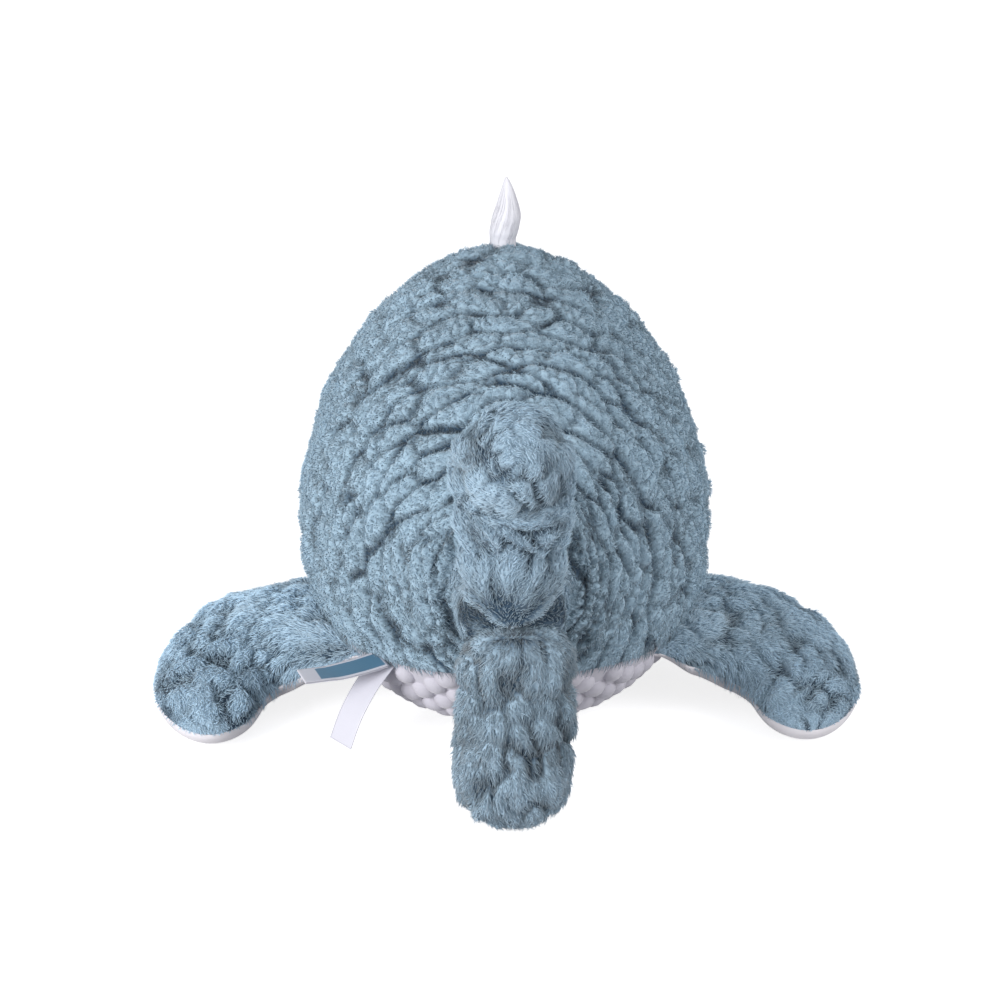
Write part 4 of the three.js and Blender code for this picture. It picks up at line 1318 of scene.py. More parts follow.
def woven_satin(colours, panel=None):
    """Woven satin ribbon: smooth floats in one direction give a soft gloss. The map is in thread-wise
    millimetres divided by the ribbon's length, and panel gives a printed plain panel's edges on it."""
    material, tree = new_material("woven_satin" if panel is None else "woven_satin_with_panel")
    place = node(tree, "ShaderNodeUVMap", uv_map="OFBake")
    parts = node(tree, "ShaderNodeSeparateXYZ", {"Vector": place.outputs[0]})
    threads = node(tree, "ShaderNodeTexNoise", {"Vector": place.outputs[0], "Scale": 60.0, "Detail": 2.0})
    ramp = node(tree, "ShaderNodeValToRGB", {"Fac": threads.outputs["Fac"]})
    ramp.color_ramp.elements[0].color = opaque([c * 0.9 for c in colours.label])
    ramp.color_ramp.elements[1].color = opaque(colours.label)
    colour = ramp.outputs["Color"]
    if panel is not None:
        inside = None
        for axis, low, high in panel:
            for edge, way in ((low, 1), (high, -1)):
                part = node(tree, "ShaderNodeMath", {0: parts.outputs[axis], 1: edge}, operation="SUBTRACT")
                sharp = times(tree, part.outputs[0], way * 150.0)
                sharp.use_clamp = True
                if inside is None:
                    inside = sharp.outputs[0]
                else:
                    both = times(tree, inside, sharp.outputs[0])
                    inside = both.outputs[0]
        mixed = node(
            tree,
            "ShaderNodeMix",
            {"Factor": inside, "A": colour, "B": opaque(colours.panel)},
            data_type="RGBA",
        )
        colour = mixed.outputs["Result"]
    finished(tree, {"Base Color": colour, "Roughness": 0.42, "Sheen Weight": 0.15})
    return material


def material_named(name, make, *arguments):
    """The material of that name, made the first time it is asked for."""
    return bpy.data.materials.get(name) or make(*arguments)


# The operators


class WhaleOperator:
    bl_options = {"REGISTER"}

    @staticmethod
    def settings():
        scene = bpy.context.scene
        return scene.whale_pile, scene.whale_colours


def side_name(side):
    return "left" if side < 0 else "right"


DENSE_SHARE = 0.9
# Painted shade: the combed pile's dense body is darker, so that the gaps between its locks look shaded.
COMBED_DENSE_SHARE = 0.73


def pile_materials(name, root, tip, share):
    """The materials of a kind of polyester pile: its dense body and its single locks. The dense body's pads
    are as pale as that share of the way from the root's colour to the tip's."""
    paler = between(np.array(root), np.array(tip), share)
    dense = material_named("dense_" + name, dense_pile, "dense_" + name, root, paler)
    return dense, material_named(name, pile_fibre, name, root, tip)


class WHALE_OT_backs(WhaleOperator, bpy.types.Operator):
    """Make the dense pile and the fine locks of both back panels"""

    bl_idname = "whale.backs"
    bl_label = "Back panels"

    def execute(self, context):
        pile, colours = self.settings()
        dense, fibre = pile_materials("polyester_pile", colours.pile_root_shade, colours.pile_tip, DENSE_SHARE)
        for side in (-1, 1):
            name = side_name(side)
            cover = back_cover(side, pile)
            depth = cover.height + pile.depth / MM
            points, faces, uv = shell(cover.top.points, cover.surface.normals, depth, LINING_STEP)
            marks = cover.marks(len(points) - cover.relief.size)
            mesh = merged(mesh_from("back_pile_" + name, points, faces, uv, marks))
            made = piece(mesh.name, mesh, dense, "torso", "fur", "back_panel_" + name)
            back_locks(side, cover, pile, fibre)
        return {"FINISHED"}


BELLY_ROWS = 96
BELLY_COLUMNS = 60
DOT_PITCH = 12.5
DOT_RADIUS = 6.5
DOT_RISE = 4.6
DOT_SUNK = 3.0
DOT_GAP_DEPTH = 1.7
DOT_SEAM_GAP = 5
DOT_SIDES = 10
DOT_RINGS = 5


def belly_surface():
    """The belly: rows from behind to the chin, columns from the left seam under the whale to the right
    seam."""
    y = torso_places(BELLY_ROWS)
    y = y[seam_angle(y) < QUARTER_TURN - 0.05][:, None]
    share = np.linspace(-1, 1, BELLY_COLUMNS)[None, :]
    angle = -QUARTER_TURN + share * (QUARTER_TURN - seam_angle(y))
    points = torso_point(y, angle)
    inside = np.stack([0 * y, np.clip(y, REAR_Y + 40, NOSE_Y - 70), 0 * y + TORSO_HEIGHT / 2], axis=-1)
    return Surface(points, inside)


def belly_dots(surface):
    """Centres and normals of the raised dots: a lattice of offset rows, stepped by length along and
    across."""
    rows, columns = surface.points.shape[:2]
    steps = np.linalg.norm(np.diff(surface.points[:, columns // 2], axis=0), axis=-1)
    run = np.concatenate([[0], np.cumsum(steps)])
    places = np.arange(DOT_PITCH * 0.4, run[-1], DOT_PITCH * 0.88)
    centres, normals = [], []
    for number, place in enumerate(places):
        row = np.interp(place, run, np.arange(rows))
        low = int(min(row, rows - 2))
        line = between(surface.points[low], surface.points[low + 1], row - low)
        way = unit(between(surface.normals[low], surface.normals[low + 1], row - low))
        width = np.concatenate([[0], np.cumsum(np.linalg.norm(np.diff(line, axis=0), axis=-1))])
        middle = width[-1] / 2
        across = np.arange(-30, 31) * DOT_PITCH + (DOT_PITCH / 2 if number % 2 else 0)
        across = middle + across[np.abs(across) < middle - DOT_SEAM_GAP]
        for axis, store in ((line, centres), (way, normals)):
            store.append(np.stack([np.interp(across, width, axis[:, i]) for i in range(3)], axis=-1))
    return np.concatenate(centres), unit(np.concatenate(normals))


def dot_shapes(centres, normals):
    """Points and faces of the dots: flattened balls, each turned to its normal and partly sunk."""
    turn = np.linspace(0, 2 * HALF_TURN, DOT_SIDES, endpoint=False)
    lift = np.linspace(-QUARTER_TURN, QUARTER_TURN, DOT_RINGS + 2)[1:-1]
    ring = np.stack(
        [
            np.outer(np.cos(lift), np.cos(turn)) * DOT_RADIUS,
            np.outer(np.cos(lift), np.sin(turn)) * DOT_RADIUS,
            np.outer(np.sin(lift), np.ones(DOT_SIDES)) * DOT_RISE,
        ],
        axis=-1,
    ).reshape(-1, 3)
    ball = np.concatenate([ring, [[0, 0, -DOT_RISE], [0, 0, DOT_RISE]]])
    along = unit(AHEAD - normals * normals[:, 1:2])
    side = np.cross(along, normals)
    places = centres[:, None] - normals[:, None] * DOT_SUNK
    offsets = [ball[None, :, i : i + 1] * axis[:, None] for i, axis in enumerate((side, along, normals))]
    points = places + (offsets[0] + offsets[1] + offsets[2])
    number = np.arange(DOT_RINGS * DOT_SIDES).reshape(DOT_RINGS, DOT_SIDES)
    after = np.roll(number, -1, axis=1)
    quads = np.stack([number[:-1], after[:-1], after[1:], number[1:]], axis=-1).reshape(-1, 4)
    low, high = DOT_RINGS * DOT_SIDES, DOT_RINGS * DOT_SIDES + 1
    none = np.full(DOT_SIDES, -1)
    bottom = np.stack([after[0], number[0], np.full(DOT_SIDES, low), none], axis=-1)
    top = np.stack([number[-1], after[-1], np.full(DOT_SIDES, high), none], axis=-1)
    pattern = np.concatenate([quads, bottom, top])
    faces = np.where(pattern < 0, -1, pattern)[None] + (len(ball) * np.arange(len(centres)))[:, None, None]
    faces = np.where(pattern[None] < 0, -1, faces)
    return points.reshape(-1, 3), faces.reshape(-1, 4)


class WHALE_OT_belly(WhaleOperator, bpy.types.Operator):
    """Make the belly panel with its raised dots"""

    bl_idname = "whale.belly"
    bl_label = "Belly"

    def execute(self, context):
        _, colours = self.settings()
        surface = belly_surface()
        outer = surface.drawn_in(DOT_GAP_DEPTH)
        points, faces, _ = shell(outer, surface.normals, BACKING_THICKNESS)
        dots, dot_faces = dot_shapes(*belly_dots(surface))
        dots = above_floor(dots)
        dot_faces = np.where(dot_faces < 0, -1, dot_faces + len(points))
        mesh = mesh_from("belly_dots", np.concatenate([points, dots]), np.concatenate([faces, dot_faces]))
        material = material_named("raised_dot_minky", raised_dot_fabric, colours)
        made = piece("belly_dots", merged(mesh), material, "torso", "dimpled_fabric", "belly_panel")
        return {"FINISHED"}


ROUND_COLUMNS = 49
EYE_DOME_ROWS = 14
EYE_EDGE = 0.3
EYE_BACK_SHARE = 0.97


class WHALE_OT_eyes(WhaleOperator, bpy.types.Operator):
    """Make the bead eyes, and finish their washers"""

    bl_idname = "whale.eyes"
    bl_label = "Eyes"

    def execute(self, context):
        resin = material_named("polished_resin", bead_resin)
        nylon = material_named("moulded_nylon", moulded_nylon)
        turn = np.linspace(0, 2 * HALF_TURN, ROUND_COLUMNS)
        arc = np.linspace(0, QUARTER_TURN, EYE_DOME_ROWS)
        rim = -EYE_SEAT_DEPTH
        seat = rim + EYE_EDGE
        shank = [0, SHANK_RADIUS, SHANK_RADIUS, EYE_RADIUS * EYE_BACK_SHARE]
        radius = np.concatenate([shank, EYE_RADIUS * np.cos(arc)])
        height = np.concatenate([[-SHANK_DEPTH, -SHANK_DEPTH, rim, rim], seat + EYE_DOME * np.sin(arc)])
        for side in (-1, 1):
            place, normal = eye_place(side)
            first = unit(np.cross(normal, UP))
            second = np.cross(normal, first)
            spin = np.cos(turn)[:, None] * first + np.sin(turn)[:, None] * second
            points = place + radius[:, None, None] * spin[None] + height[:, None, None] * normal
            ways = points - (place - normal)
            name = "bead_eye_" + side_name(side)
            mesh = mesh_from(name, points.reshape(-1, 3), closed_faces(points, ways))
            mesh = merged(mesh)
            piece(name, mesh, resin, "torso", "eye_bead", "eye_" + side_name(side))
            washer = frame["nodes"]["eye_washer_" + side_name(side)]
            washer.data.materials.clear()
            washer.data.materials.append(nylon)
        return {"FINISHED"}


def limb_pile(name, cover, material, body, *replaced):
    """The dense pile of a limb that is furred all round, as one closed form."""
    points = above_floor(cover.top.points)
    faces = closed_faces(points, cover.surface.normals)
    mesh = mesh_from(name, points.reshape(-1, 3), faces, grid_map(points), cover.marks())
    made = piece(name, merged(mesh), material, body, "combed_fur", *replaced)
    return made


def grid_map(points):
    """A map of a grid with the rows upwards and the columns across."""
    down, across = np.meshgrid(*(np.linspace(0, 1, size) for size in points.shape[:2]), indexing="ij")
    return np.stack([across, down], axis=-1).reshape(-1, 2)


CORNER_REACH = 60
CORNER_WAY = np.array([-20.0, -14.0, 0.0])
FLIPPER_FULLER = 8
FLIPPER_HANG = 4.5
FLIPPER_LOCKS = 16000
THINNEST = 0.3
HALF_COLUMNS = LIMB_COLUMNS // 2 + 1


def along_body(surface, side):
    """A flipper's surface with the rear corner of its root drawn inwards and backwards, along the body's
    side."""
    places = surface.places
    chord = places[..., 1]
    half = np.maximum(np.abs(chord).max(axis=1, keepdims=True), 1)
    corner = (1 - eased(0, CORNER_REACH, places[..., 0])) * eased(0.1, 1, -chord / half)
    way = CORNER_WAY * [side, 1, 1]
    return Surface(surface.points + corner[..., None] * way, surface.inside, places)


class WHALE_OT_flippers(WhaleOperator, bpy.types.Operator):
    """Make both flippers: combed pile on top and velour underneath"""

    bl_idname = "whale.flippers"
    bl_label = "Flippers"

    def execute(self, context):
        pile, colours = self.settings()
        tip = colours.combed_tip
        dense, fibre = pile_materials("combed_polyester_pile", colours.pile_root_shade, tip, COMBED_DENSE_SHARE)
        velour = material_named("brushed_velour", brushed_velour, colours)
        for side in (-1, 1):
            name = side_name(side)
            body = name + "_flipper"
            spine = flipper_spine(side, fuller=FLIPPER_FULLER)
            top = along_body(spine.surface(np.linspace(0, HALF_TURN, HALF_COLUMNS)), side)
            run = width_of(top.points)
            from_rear = run[:, -1:] - run
            from_seam = np.minimum(run, from_rear)
            share = top.places[..., 0] / top.places[..., 0].max()
            behind = (1 - eased(0, 18, from_rear)) * eased(0.06, 0.25, share) * (1 - eased(0.7, 0.95, share))
            thin = between(eased(0, 7, from_seam), 1, 0.8 * behind)
            rearwards = np.sign((top.across[40, 60] * (top.points[40, -1] - top.points[40, 0])).sum())
            cover = limb_cover(top, pile, 200 + 20 * side, fade=thin)
            local = np.abs(top.places[..., 2]).max(axis=1, keepdims=True)
            depth = cover.height + np.clip(0.4 * local, THINNEST, BACKING_THICKNESS + 2)
            depth = np.maximum(depth, THINNEST)
            points, faces, uv = shell(above_floor(cover.top.points), top.normals, depth, 1)
            marks = cover.marks(len(points) - cover.relief.size)
            mesh = merged(mesh_from("flipper_dense_pile_" + name, points, faces, uv, marks))
            made = piece(mesh.name, mesh, dense, body, "combed_fur", "flipper_top_" + name)
            combed(
                "flipper_pile_" + name,
                cover,
                FLIPPER_LOCKS,
                210 + side,
                pile,
                body,
                ["flipper_top_" + name],
                fibre,
                # Painted light: the flippers' locks are brightened, the left one more than the right.
                shade=0.21 - 0.09 * side,
                keep=lambda roots: roots.run > 1,
                from_seam=from_seam,
                hang=rearwards * FLIPPER_HANG * behind,
            )
            under = spine.surface(np.linspace(HALF_TURN, 2 * HALF_TURN, HALF_COLUMNS))
            under = along_body(under, side)
            local = np.abs(under.places[..., 2]).max(axis=1, keepdims=True)
            thickness = np.clip(0.4 * local, 0.2, BACKING_THICKNESS)
            points, faces, uv = shell(above_floor(under.points), under.normals, thickness, 1)
            mesh = merged(mesh_from("flipper_velour_" + name, points, faces, uv))
            made = piece(mesh.name, mesh, velour, body, "velour", "flipper_underside_" + name)
        return {"FINISHED"}


STOCK_LOCKS = 10000
# The notch is a crease whose pile is darkened as painted shade.
NOTCH = (UP, 103, 12, 3.6)
FLUKE_ROOT_FULLER = 2.5
FLUKE_SKIRT = (30, (0, -12, 0), 0.5)
# Each crease also darkens the pile as painted shade; the tones hold painted light and shade: the lower fluke
# is darkened and painted lighter near its tip.
FLUKE_PILES = {
    "upper": {
        "folds": (),
        "creases": (NOTCH, (UP, 112, 10, 1.5)),
        "tones": {"shade": 0.01, "paler_tip": 0, "swirl": 1.3},
    },
    "lower": {
        "folds": (((30, -190, 72), 22, 7.5), ((-20, -192, 74), 14, 2), ((-22, -198, 14), 12, 3.6)),
        "creases": (NOTCH, ((0, 0.1, 1), 29, 4, 0.9)),
        "tones": {"shade": -0.2, "paler_tip": 0.22, "swirl": 0},
    },
}


class WHALE_OT_tail(WhaleOperator, bpy.types.Operator):
    """Make the tail stock and both flukes with their combed pile"""

    bl_idname = "whale.tail"
    bl_label = "Tail"

    def execute(self, context):
        pile, colours = self.settings()
        tip = colours.combed_tip
        dense, fibre = pile_materials("combed_polyester_pile", colours.pile_root_shade, tip, COMBED_DENSE_SHARE)
        stock = stock_surface()
        whole = 1 - eased(0.5, 0.8, stock.places[..., 0] / STOCK_LENGTH)
        cover = limb_cover(stock, pile, 300, root_fade=STOCK_RADIUS, fade=whole, creases=[NOTCH])
        limb_pile("tail_dense_pile", cover, dense, "tail", "tail_stock_cover")
        combed(
            "tail_pile",
            cover,
            STOCK_LOCKS,
            310,
            pile,
            "tail",
            ["tail_stock_cover"],
            fibre,
            # Painted shade: the tail stock's locks are darkened.
            shade=-0.1,
            keep=lambda roots: roots.points[:, 1] < REAR_Y - 1,
        )
        for way, name in ((1, "upper"), (-1, "lower")):
            spine = fluke_spine(way).with_skirt(*FLUKE_SKIRT)
            spine.root_radius += FLUKE_ROOT_FULLER
            surface = spine.surface(np.linspace(0, 2 * HALF_TURN, LIMB_COLUMNS + 1))
            nodes = [f"{name}_fluke_left", f"{name}_fluke_right"]
            body = name + "_fluke"
            finish = FLUKE_PILES[name]
            form = {"folds": finish["folds"], "creases": finish["creases"]}
            cover = limb_cover(surface, pile, 320 + 20 * way, root_fade=4, **form)
            limb_pile(body + "_dense_pile", cover, dense, body, *nodes)
            combed(
                body + "_pile",
                cover,
                pile.limb_locks,
                330 + way,
                pile,
                body,
                nodes,
                fibre,
                **finish["tones"],
            )
        return {"FINISHED"}


FILL_ROWS = 48
FILL_COLUMNS = 73
LIMB_FILL_SHARE = 0.66
LIMB_FILL_ROWS = slice(3, -8)


def limb_form(spine):
    """The whole surface of a limb round its spine."""
    return spine.surface(np.linspace(0, 2 * HALF_TURN, 25), 20)


class WHALE_OT_stuffing(WhaleOperator, bpy.types.Operator):
    """Make the fibre stuffing inside the covers"""

    bl_idname = "whale.stuffing"
    bl_label = "Stuffing"

    def execute(self, context):
        pile, _ = self.settings()
        fill = material_named("polyester_fibrefill", fibre_stuffing)
        depth = pile.depth / MM + BACKING_THICKNESS + 1
        turn = np.linspace(0, 2 * HALF_TURN, FILL_COLUMNS)
        y = torso_places(FILL_ROWS)[:, None]
        points = torso_point(y, turn[None, :])
        middle = torso_outline(y)[3]
        inside = np.stack([0 * y, np.clip(y, REAR_Y + 30, NOSE_Y - 60), middle], axis=-1)
        body = Surface(points, inside).drawn_in(depth)
        centre = body[0].mean(axis=0)
        shrink = np.linspace(0, 1, 12, endpoint=False)[:, None, None]
        rear = between(centre, body[0], shrink)
        reach = np.hypot(rear[..., 0], rear[..., 2] - PIVOT[2])
        hollow = PIVOT[1] + np.sqrt(np.maximum((STOCK_RADIUS + 1) ** 2 - reach**2, 0))
        rear[..., 1] = np.maximum(body[0, :, 1].mean(), hollow)
        points = np.concatenate([rear, body])
        ways = points - np.array([0, REAR_Y + TORSO_LENGTH / 2, TORSO_HEIGHT / 2])
        mesh = merged(mesh_from("body_stuffing", points.reshape(-1, 3), closed_faces(points, ways)))
        piece("body_stuffing", mesh, fill, "torso", "stuffing", "body_filling")
        limbs = [
            ("tail_stuffing", stock_surface(24, 24), "tail", "tail_stock_filling"),
            ("upper_fluke_stuffing", limb_form(fluke_spine(1)), "upper_fluke", "upper_fluke_filling"),
            ("lower_fluke_stuffing", limb_form(fluke_spine(-1)), "lower_fluke", "lower_fluke_filling"),
            ("flipper_stuffing_left", limb_form(flipper_spine(-1)), "left_flipper", "flipper_filling_left"),
            ("flipper_stuffing_right", limb_form(flipper_spine(1)), "right_flipper", "flipper_filling_right"),
        ]
        for name, surface, body_name, replaced in limbs:
            middle = surface.points[:, :-1].mean(axis=1, keepdims=True)
            points = between(middle, surface.points, LIMB_FILL_SHARE)[LIMB_FILL_ROWS]
            points = np.concatenate([points[:1].mean(axis=1, keepdims=True) + 0 * points[:1], points])
            points = np.concatenate([points, points[-1:].mean(axis=1, keepdims=True) + 0 * points[-1:]])
            faces = closed_faces(points, points - points.mean(axis=1, keepdims=True))
            mesh = merged(mesh_from(name, points.reshape(-1, 3), faces))
            piece(name, mesh, fill, body_name, "stuffing", replaced)
        return {"FINISHED"}


SPOUT_FIBRES = 160
SPOUT_ROWS = 60
SPOUT_CORE_SHARE = 0.97
SPOUT_GROOVE_SHARE = 0.003
SPOUT_STEPS = 8
SPOUT_SUNK = 7


class WHALE_OT_spout(WhaleOperator, bpy.types.Operator):
    """Make the silky tuft of the spout: its dense middle and the fibres on it"""

    bl_idname = "whale.spout"
    bl_label = "Spout"

    def execute(self, context):
        _, colours = self.settings()
        silk = material_named("silky_acrylic", silky_fibre, colours)
        dense = material_named("dense_silky_acrylic", dense_silk, colours)
        width = smooth(SPOUT_PLACE_SHARES, SPOUT_WIDTH_SHARES)
        lean = smooth(SPOUT_PLACE_SHARES, SPOUT_LEAN_SHARES)

        def middle(share):
            height = SPOUT_ROOT[2] - SPOUT_SUNK + (SPOUT_HEIGHT + SPOUT_SUNK) * share
            rise = (height - SPOUT_ROOT[2]) / SPOUT_HEIGHT
            return SPOUT_ROOT[0] + SPOUT_HEIGHT * lean(rise), height, SPOUT_WIDTH / 2 * width(rise)

        turn = np.linspace(0, 2 * HALF_TURN, ROUND_COLUMNS)
        share = np.linspace(0, 0.985, SPOUT_ROWS)[:, None]
        x, z, radius = middle(share)
        radius = radius * fall_off((share - 0.9) / 0.085, 2) * fall_off((0.06 - share) / 0.06, 2)
        places = np.broadcast_arrays(np.cos(turn) * 3, np.sin(turn) * 3, 2 * share)
        grooves = noise(np.stack(places, axis=-1), 1, 402)
        radius = radius * (SPOUT_CORE_SHARE + SPOUT_GROOVE_SHARE * grooves)
        points = np.stack(
            np.broadcast_arrays(x + radius * np.cos(turn), SPOUT_ROOT[1] + radius * np.sin(turn), z), axis=-1
        )
        ways = points - np.array([SPOUT_ROOT[0], SPOUT_ROOT[1], 0]) * [1, 1, 0] - UP * z.mean()
        mesh = mesh_from("spout_core", points.reshape(-1, 3), closed_faces(points, ways), grid_map(points))
        piece("spout_core", merged(mesh), dense, "spout", "silky_tuft", "spout_tuft")

        draw = np.random.default_rng(400)
        count = SPOUT_FIBRES
        around = draw.random(count) * 2 * HALF_TURN
        start = draw.random(count) * 0.6
        end = np.minimum(start + between(0.2, 0.55, draw.random(count)), 1.0)
        share = between(start[:, None], end[:, None], np.linspace(0, 1, SPOUT_STEPS)[None])
        x, z, radius = middle(share)
        radius = radius * between(0.96, 0.99, draw.random(count))[:, None]
        angle = around[:, None] + 0.2 * np.sin(5 * share + around[:, None])
        line = np.stack([x + radius * np.cos(angle), SPOUT_ROOT[1] + radius * np.sin(angle), z], axis=-1)
        mesh = fibre_mesh("spout_fibres", line, 0.11, draw.random(count))
        piece("spout_fibres", mesh, silk, "spout", "silky_tuft", "spout_tuft")
        return {"FINISHED"}


def fibre_mesh(name, lines, radius, tone):
    """Fibres along lines of points as closed three-sided tubes that narrow to a point at both ends."""
    count, steps = lines.shape[:2]
    axis = unit(np.gradient(lines, axis=1))
    side = unit(np.cross(axis, ACROSS + 0.01))
    other = np.cross(axis, side)
    turns = np.arange(3) * 2 * HALF_TURN / 3
    inner = slice(1, steps - 1)
    taper = radius * np.sqrt(np.sin(np.linspace(0, HALF_TURN, steps)))[None, inner, None, None]
    rings = lines[:, inner, None] + taper * (
        np.cos(turns)[None, None, :, None] * side[:, inner, None]
        + np.sin(turns)[None, None, :, None] * other[:, inner, None]
    )
    points = np.concatenate([lines[:, :1], rings.reshape(count, -1, 3), lines[:, -1:]], axis=1)
    each = points.shape[1]
    ring = 1 + np.arange((steps - 2) * 3).reshape(steps - 2, 3)
    after = np.roll(ring, -1, axis=1)
    quads = np.stack([ring[:-1], after[:-1], after[1:], ring[1:]], axis=-1).reshape(-1, 4)
    none = np.full(3, -1)
    first = np.stack([after[0], ring[0], np.zeros(3, int), none], axis=-1)
    last = np.stack([ring[-1], after[-1], np.full(3, each - 1), none], axis=-1)
    pattern = np.concatenate([quads, first, last])
    faces = np.where(pattern[None] < 0, -1, pattern[None] + (each * np.arange(count))[:, None, None])
    breadth = 0.012
    across = np.concatenate([[0], np.tile([-breadth, 0, breadth], steps - 2), [0]])
    upwards = np.concatenate([[0.01], np.repeat(np.linspace(0.1, 0.9, steps - 2), 3), [0.99]])
    across = between(breadth, 1 - breadth, tone)[:, None] + across
    uv = np.stack(np.broadcast_arrays(across, upwards), axis=-1)
    return mesh_from(name, points.reshape(-1, 3), faces.reshape(-1, 4), uv.reshape(-1, 2))


LABEL_POINTS = 40
RIBBON_COLUMNS = 17
CLOTH_THICKNESS = 0.3
PANEL_PLACE = (("X", 0.01, 0.4), ("Y", 0.1, 0.9))


def label_line(joint, length, shares, points):
    """A label's middle line from its root, and its edge direction at each of its points."""
    start, axis = hinge_of(joint)
    across = unit(axis * np.sign(axis[1]))
    outwards = np.array([-across[1], across[0], 0])
    share = np.linspace(0, 1, points)
    out, run, rise = (smooth(LABEL_STATION_SHARES, table)(share) for table in shares)
    line = start + length * (np.outer(out, outwards) + np.outer(run, across) + np.outer(rise, UP))
    ahead = unit(np.gradient(line, axis=0))
    square = unit(across - ahead * (ahead @ across)[:, None])
    face = unit(np.cross(ahead, square))
    return line, square, face * np.sign(face[:, 2:].mean())


def ribbon(name, line, square, face, width, thickness, uv_length):
    """A woven strip along a line: a grid across its width, as a closed shell of the given thickness."""
    across = np.linspace(-0.5, 0.5, RIBBON_COLUMNS)
    points = line[:, None] + square[:, None] * (width * across)[None, :, None]
    normals = np.broadcast_to(face[:, None], points.shape)
    verts, faces, _ = shell(points + normals * thickness / 2, normals, thickness)
    steps = np.linalg.norm(np.diff(line, axis=0), axis=-1)
    run = np.concatenate([[0], np.cumsum(steps)]) / uv_length
    flat = np.stack(np.broadcast_arrays(run[:, None], (across + 0.5)[None]), axis=-1).reshape(-1, 2)
    uv = np.concatenate([flat, flat])
    return mesh_from(name, verts, faces, np.clip(uv, 0, 1))


class WHALE_OT_labels(WhaleOperator, bpy.types.Operator):
    """Make the folded name label with a plain panel, and the bare care label"""

    bl_idname = "whale.labels"
    bl_label = "Labels"

    def execute(self, context):
        _, colours = self.settings()
        line, square, face = label_line(
            "name_label_swing", NAME_LABEL_LENGTH, NAME_LABEL_SHARES, LABEL_POINTS
        )
        gap = LABEL_THICKNESS / 2 - CLOTH_THICKNESS / 2
        upper = line + face * gap
        lower = line - face * gap
        turn = np.linspace(0, HALF_TURN, 9)[1:-1]
        ahead = unit(line[-1] - line[-2])
        bend = line[-1] + gap * (np.outer(np.cos(turn), face[-1]) + np.outer(np.sin(turn), ahead))
        path = np.concatenate([upper, bend, lower[::-1]])
        edges = np.concatenate([square, np.repeat(square[-1:], len(bend), axis=0), square[::-1]])
        bend_face = np.outer(np.cos(turn), face[-1]) + np.outer(np.sin(turn), ahead)
        faces = np.concatenate([face, bend_face, -face[::-1]])
        cut = 2 * NAME_LABEL_LENGTH
        mesh = ribbon("name_label_satin", path, edges, faces, NAME_LABEL_WIDTH, CLOTH_THICKNESS, cut)
        satin = material_named("woven_satin_with_panel", woven_satin, colours, PANEL_PLACE)
        made = piece(mesh.name, mesh, satin, "name_tag", "satin", "name_label")
        line, square, face = label_line(
            "care_label_swing", CARE_LABEL_LENGTH, CARE_LABEL_SHARES, LABEL_POINTS
        )
        mesh = ribbon(
            "care_label_satin", line, square, face, CARE_LABEL_WIDTH, CLOTH_THICKNESS, CARE_LABEL_LENGTH
        )
        satin = material_named("woven_satin", woven_satin, colours)
        made = piece(mesh.name, mesh, satin, "care_tag", "satin", "care_label")
        return {"FINISHED"}


FLOOR_HALF = 4000
LIGHTS = (
    ("key_light", (-950, -1000, 480), 700, 19.5),
    ("fill_light", (1000, -600, 700), 800, 9),
)


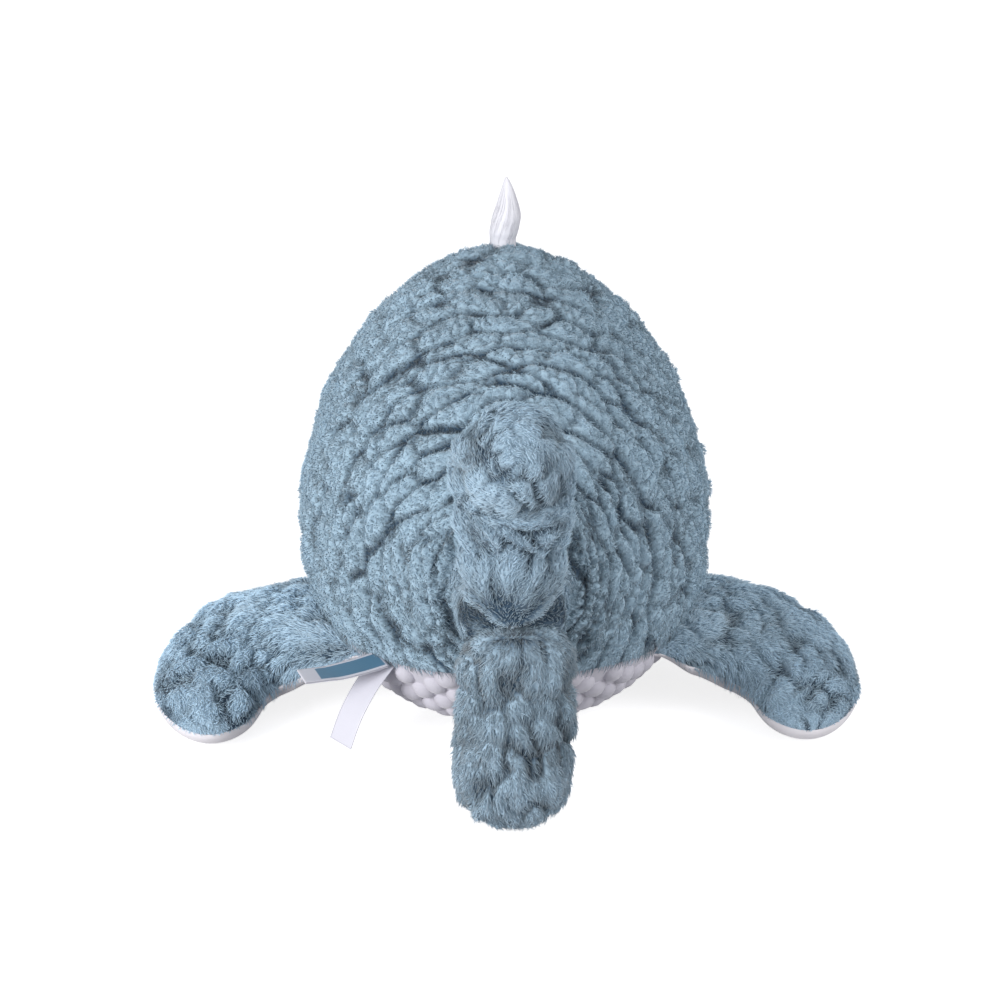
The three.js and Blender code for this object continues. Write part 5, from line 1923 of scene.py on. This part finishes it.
class WHALE_OT_stage(WhaleOperator, bpy.types.Operator):
    """Make the floor, the soft studio light and the camera"""

    bl_idname = "whale.stage"
    bl_label = "Stage"

    def execute(self, context):
        scene = context.scene
        scene.view_settings.view_transform = "Standard"
        corners = FLOOR_HALF * np.array([[-1, -1, 0], [1, -1, 0], [1, 1, 0], [-1, 1, 0]], float)
        mesh = mesh_from("studio_floor", corners, np.array([[0, 1, 2, 3]]))
        floor = bpy.data.objects.new("studio_floor", mesh)
        scene.collection.objects.link(floor)
        material, tree = new_material("white_paper")
        path = node(tree, "ShaderNodeLightPath")
        glow = times(tree, path.outputs["Is Camera Ray"], 0.8)
        finished(
            tree,
            {
                "Base Color": opaque(linear("#c4c4c6")),
                "Roughness": 0.9,
                "Emission Color": (1.0, 1.0, 1.0, 1.0),
                "Emission Strength": glow.outputs[0],
            },
        )
        mesh.materials.append(material)

        world = bpy.data.worlds.new("studio")
        scene.world = world
        world.use_nodes = True
        tree = world.node_tree
        tree.nodes.clear()
        path = node(tree, "ShaderNodeLightPath")
        lit = node(tree, "ShaderNodeBackground", {"Color": (0.97, 0.985, 1.0, 1.0), "Strength": 0.55})
        seen = node(tree, "ShaderNodeBackground", {"Color": (1.0, 1.0, 1.0, 1.0), "Strength": 1.0})
        shaders = {0: path.outputs["Is Camera Ray"], 1: lit.outputs[0], 2: seen.outputs[0]}
        mix = node(tree, "ShaderNodeMixShader", shaders)
        node(tree, "ShaderNodeOutputWorld", {"Surface": mix.outputs[0]})

        for name, place, side, power in LIGHTS:
            lamp = bpy.data.lights.new(name, "AREA")
            lamp.shape = "SQUARE"
            lamp.size = side * MM
            lamp.energy = power
            thing = bpy.data.objects.new(name, lamp)
            scene.collection.objects.link(thing)
            thing.location = Vector(place) * MM
            aim = Vector((0, 0, TORSO_HEIGHT / 2 * MM))
            thing.rotation_euler = (aim - thing.location).to_track_quat("-Z", "Y").to_euler()

        lens = bpy.data.cameras.new("photo_camera")
        lens.sensor_width = SENSOR_WIDTH
        lens.lens = SENSOR_WIDTH * FOCAL_SHARE
        lens.clip_start, lens.clip_end = 0.05, 20
        camera = bpy.data.objects.new("photo_camera", lens)
        scene.collection.objects.link(camera)
        tilt, turn = np.radians([CAMERA_ELEVATION, CAMERA_TURN])
        back = np.array([-np.sin(turn) * np.cos(tilt), -np.cos(turn) * np.cos(tilt), np.sin(tilt)])
        camera.location = (AIM + back * CAMERA_DISTANCE) * MM
        camera.rotation_euler = Vector(-back).to_track_quat("-Z", "Y").to_euler()
        scene.camera = camera
        return {"FINISHED"}


class WHALE_PT_panel(bpy.types.Panel):
    """The whale's settings and steps"""

    bl_idname = "WHALE_PT_panel"
    bl_label = "Plush whale"
    bl_space_type = "VIEW_3D"
    bl_region_type = "UI"
    bl_category = "Whale"

    def draw(self, context):
        for group in (context.scene.whale_pile, context.scene.whale_colours):
            for name in group.__annotations__:
                self.layout.prop(group, name)
        for step in STEPS:
            self.layout.operator(step.bl_idname)


STEPS = (
    WHALE_OT_stage,
    WHALE_OT_backs,
    WHALE_OT_belly,
    WHALE_OT_eyes,
    WHALE_OT_flippers,
    WHALE_OT_tail,
    WHALE_OT_stuffing,
    WHALE_OT_spout,
    WHALE_OT_labels,
)
CLASSES = (WhalePile, WhaleColours, *STEPS, WHALE_PT_panel)


def register():
    for cls in CLASSES:
        bpy.utils.register_class(cls)
    bpy.types.Scene.whale_pile = PointerProperty(type=WhalePile)
    bpy.types.Scene.whale_colours = PointerProperty(type=WhaleColours)


def unregister():
    del bpy.types.Scene.whale_pile
    del bpy.types.Scene.whale_colours
    for cls in reversed(CLASSES):
        bpy.utils.unregister_class(cls)


def main():
    register()
    for step in STEPS:
        group, name = step.bl_idname.split(".")
        getattr(getattr(bpy.ops, group), name)()


if __name__ == "__main__":
    main()
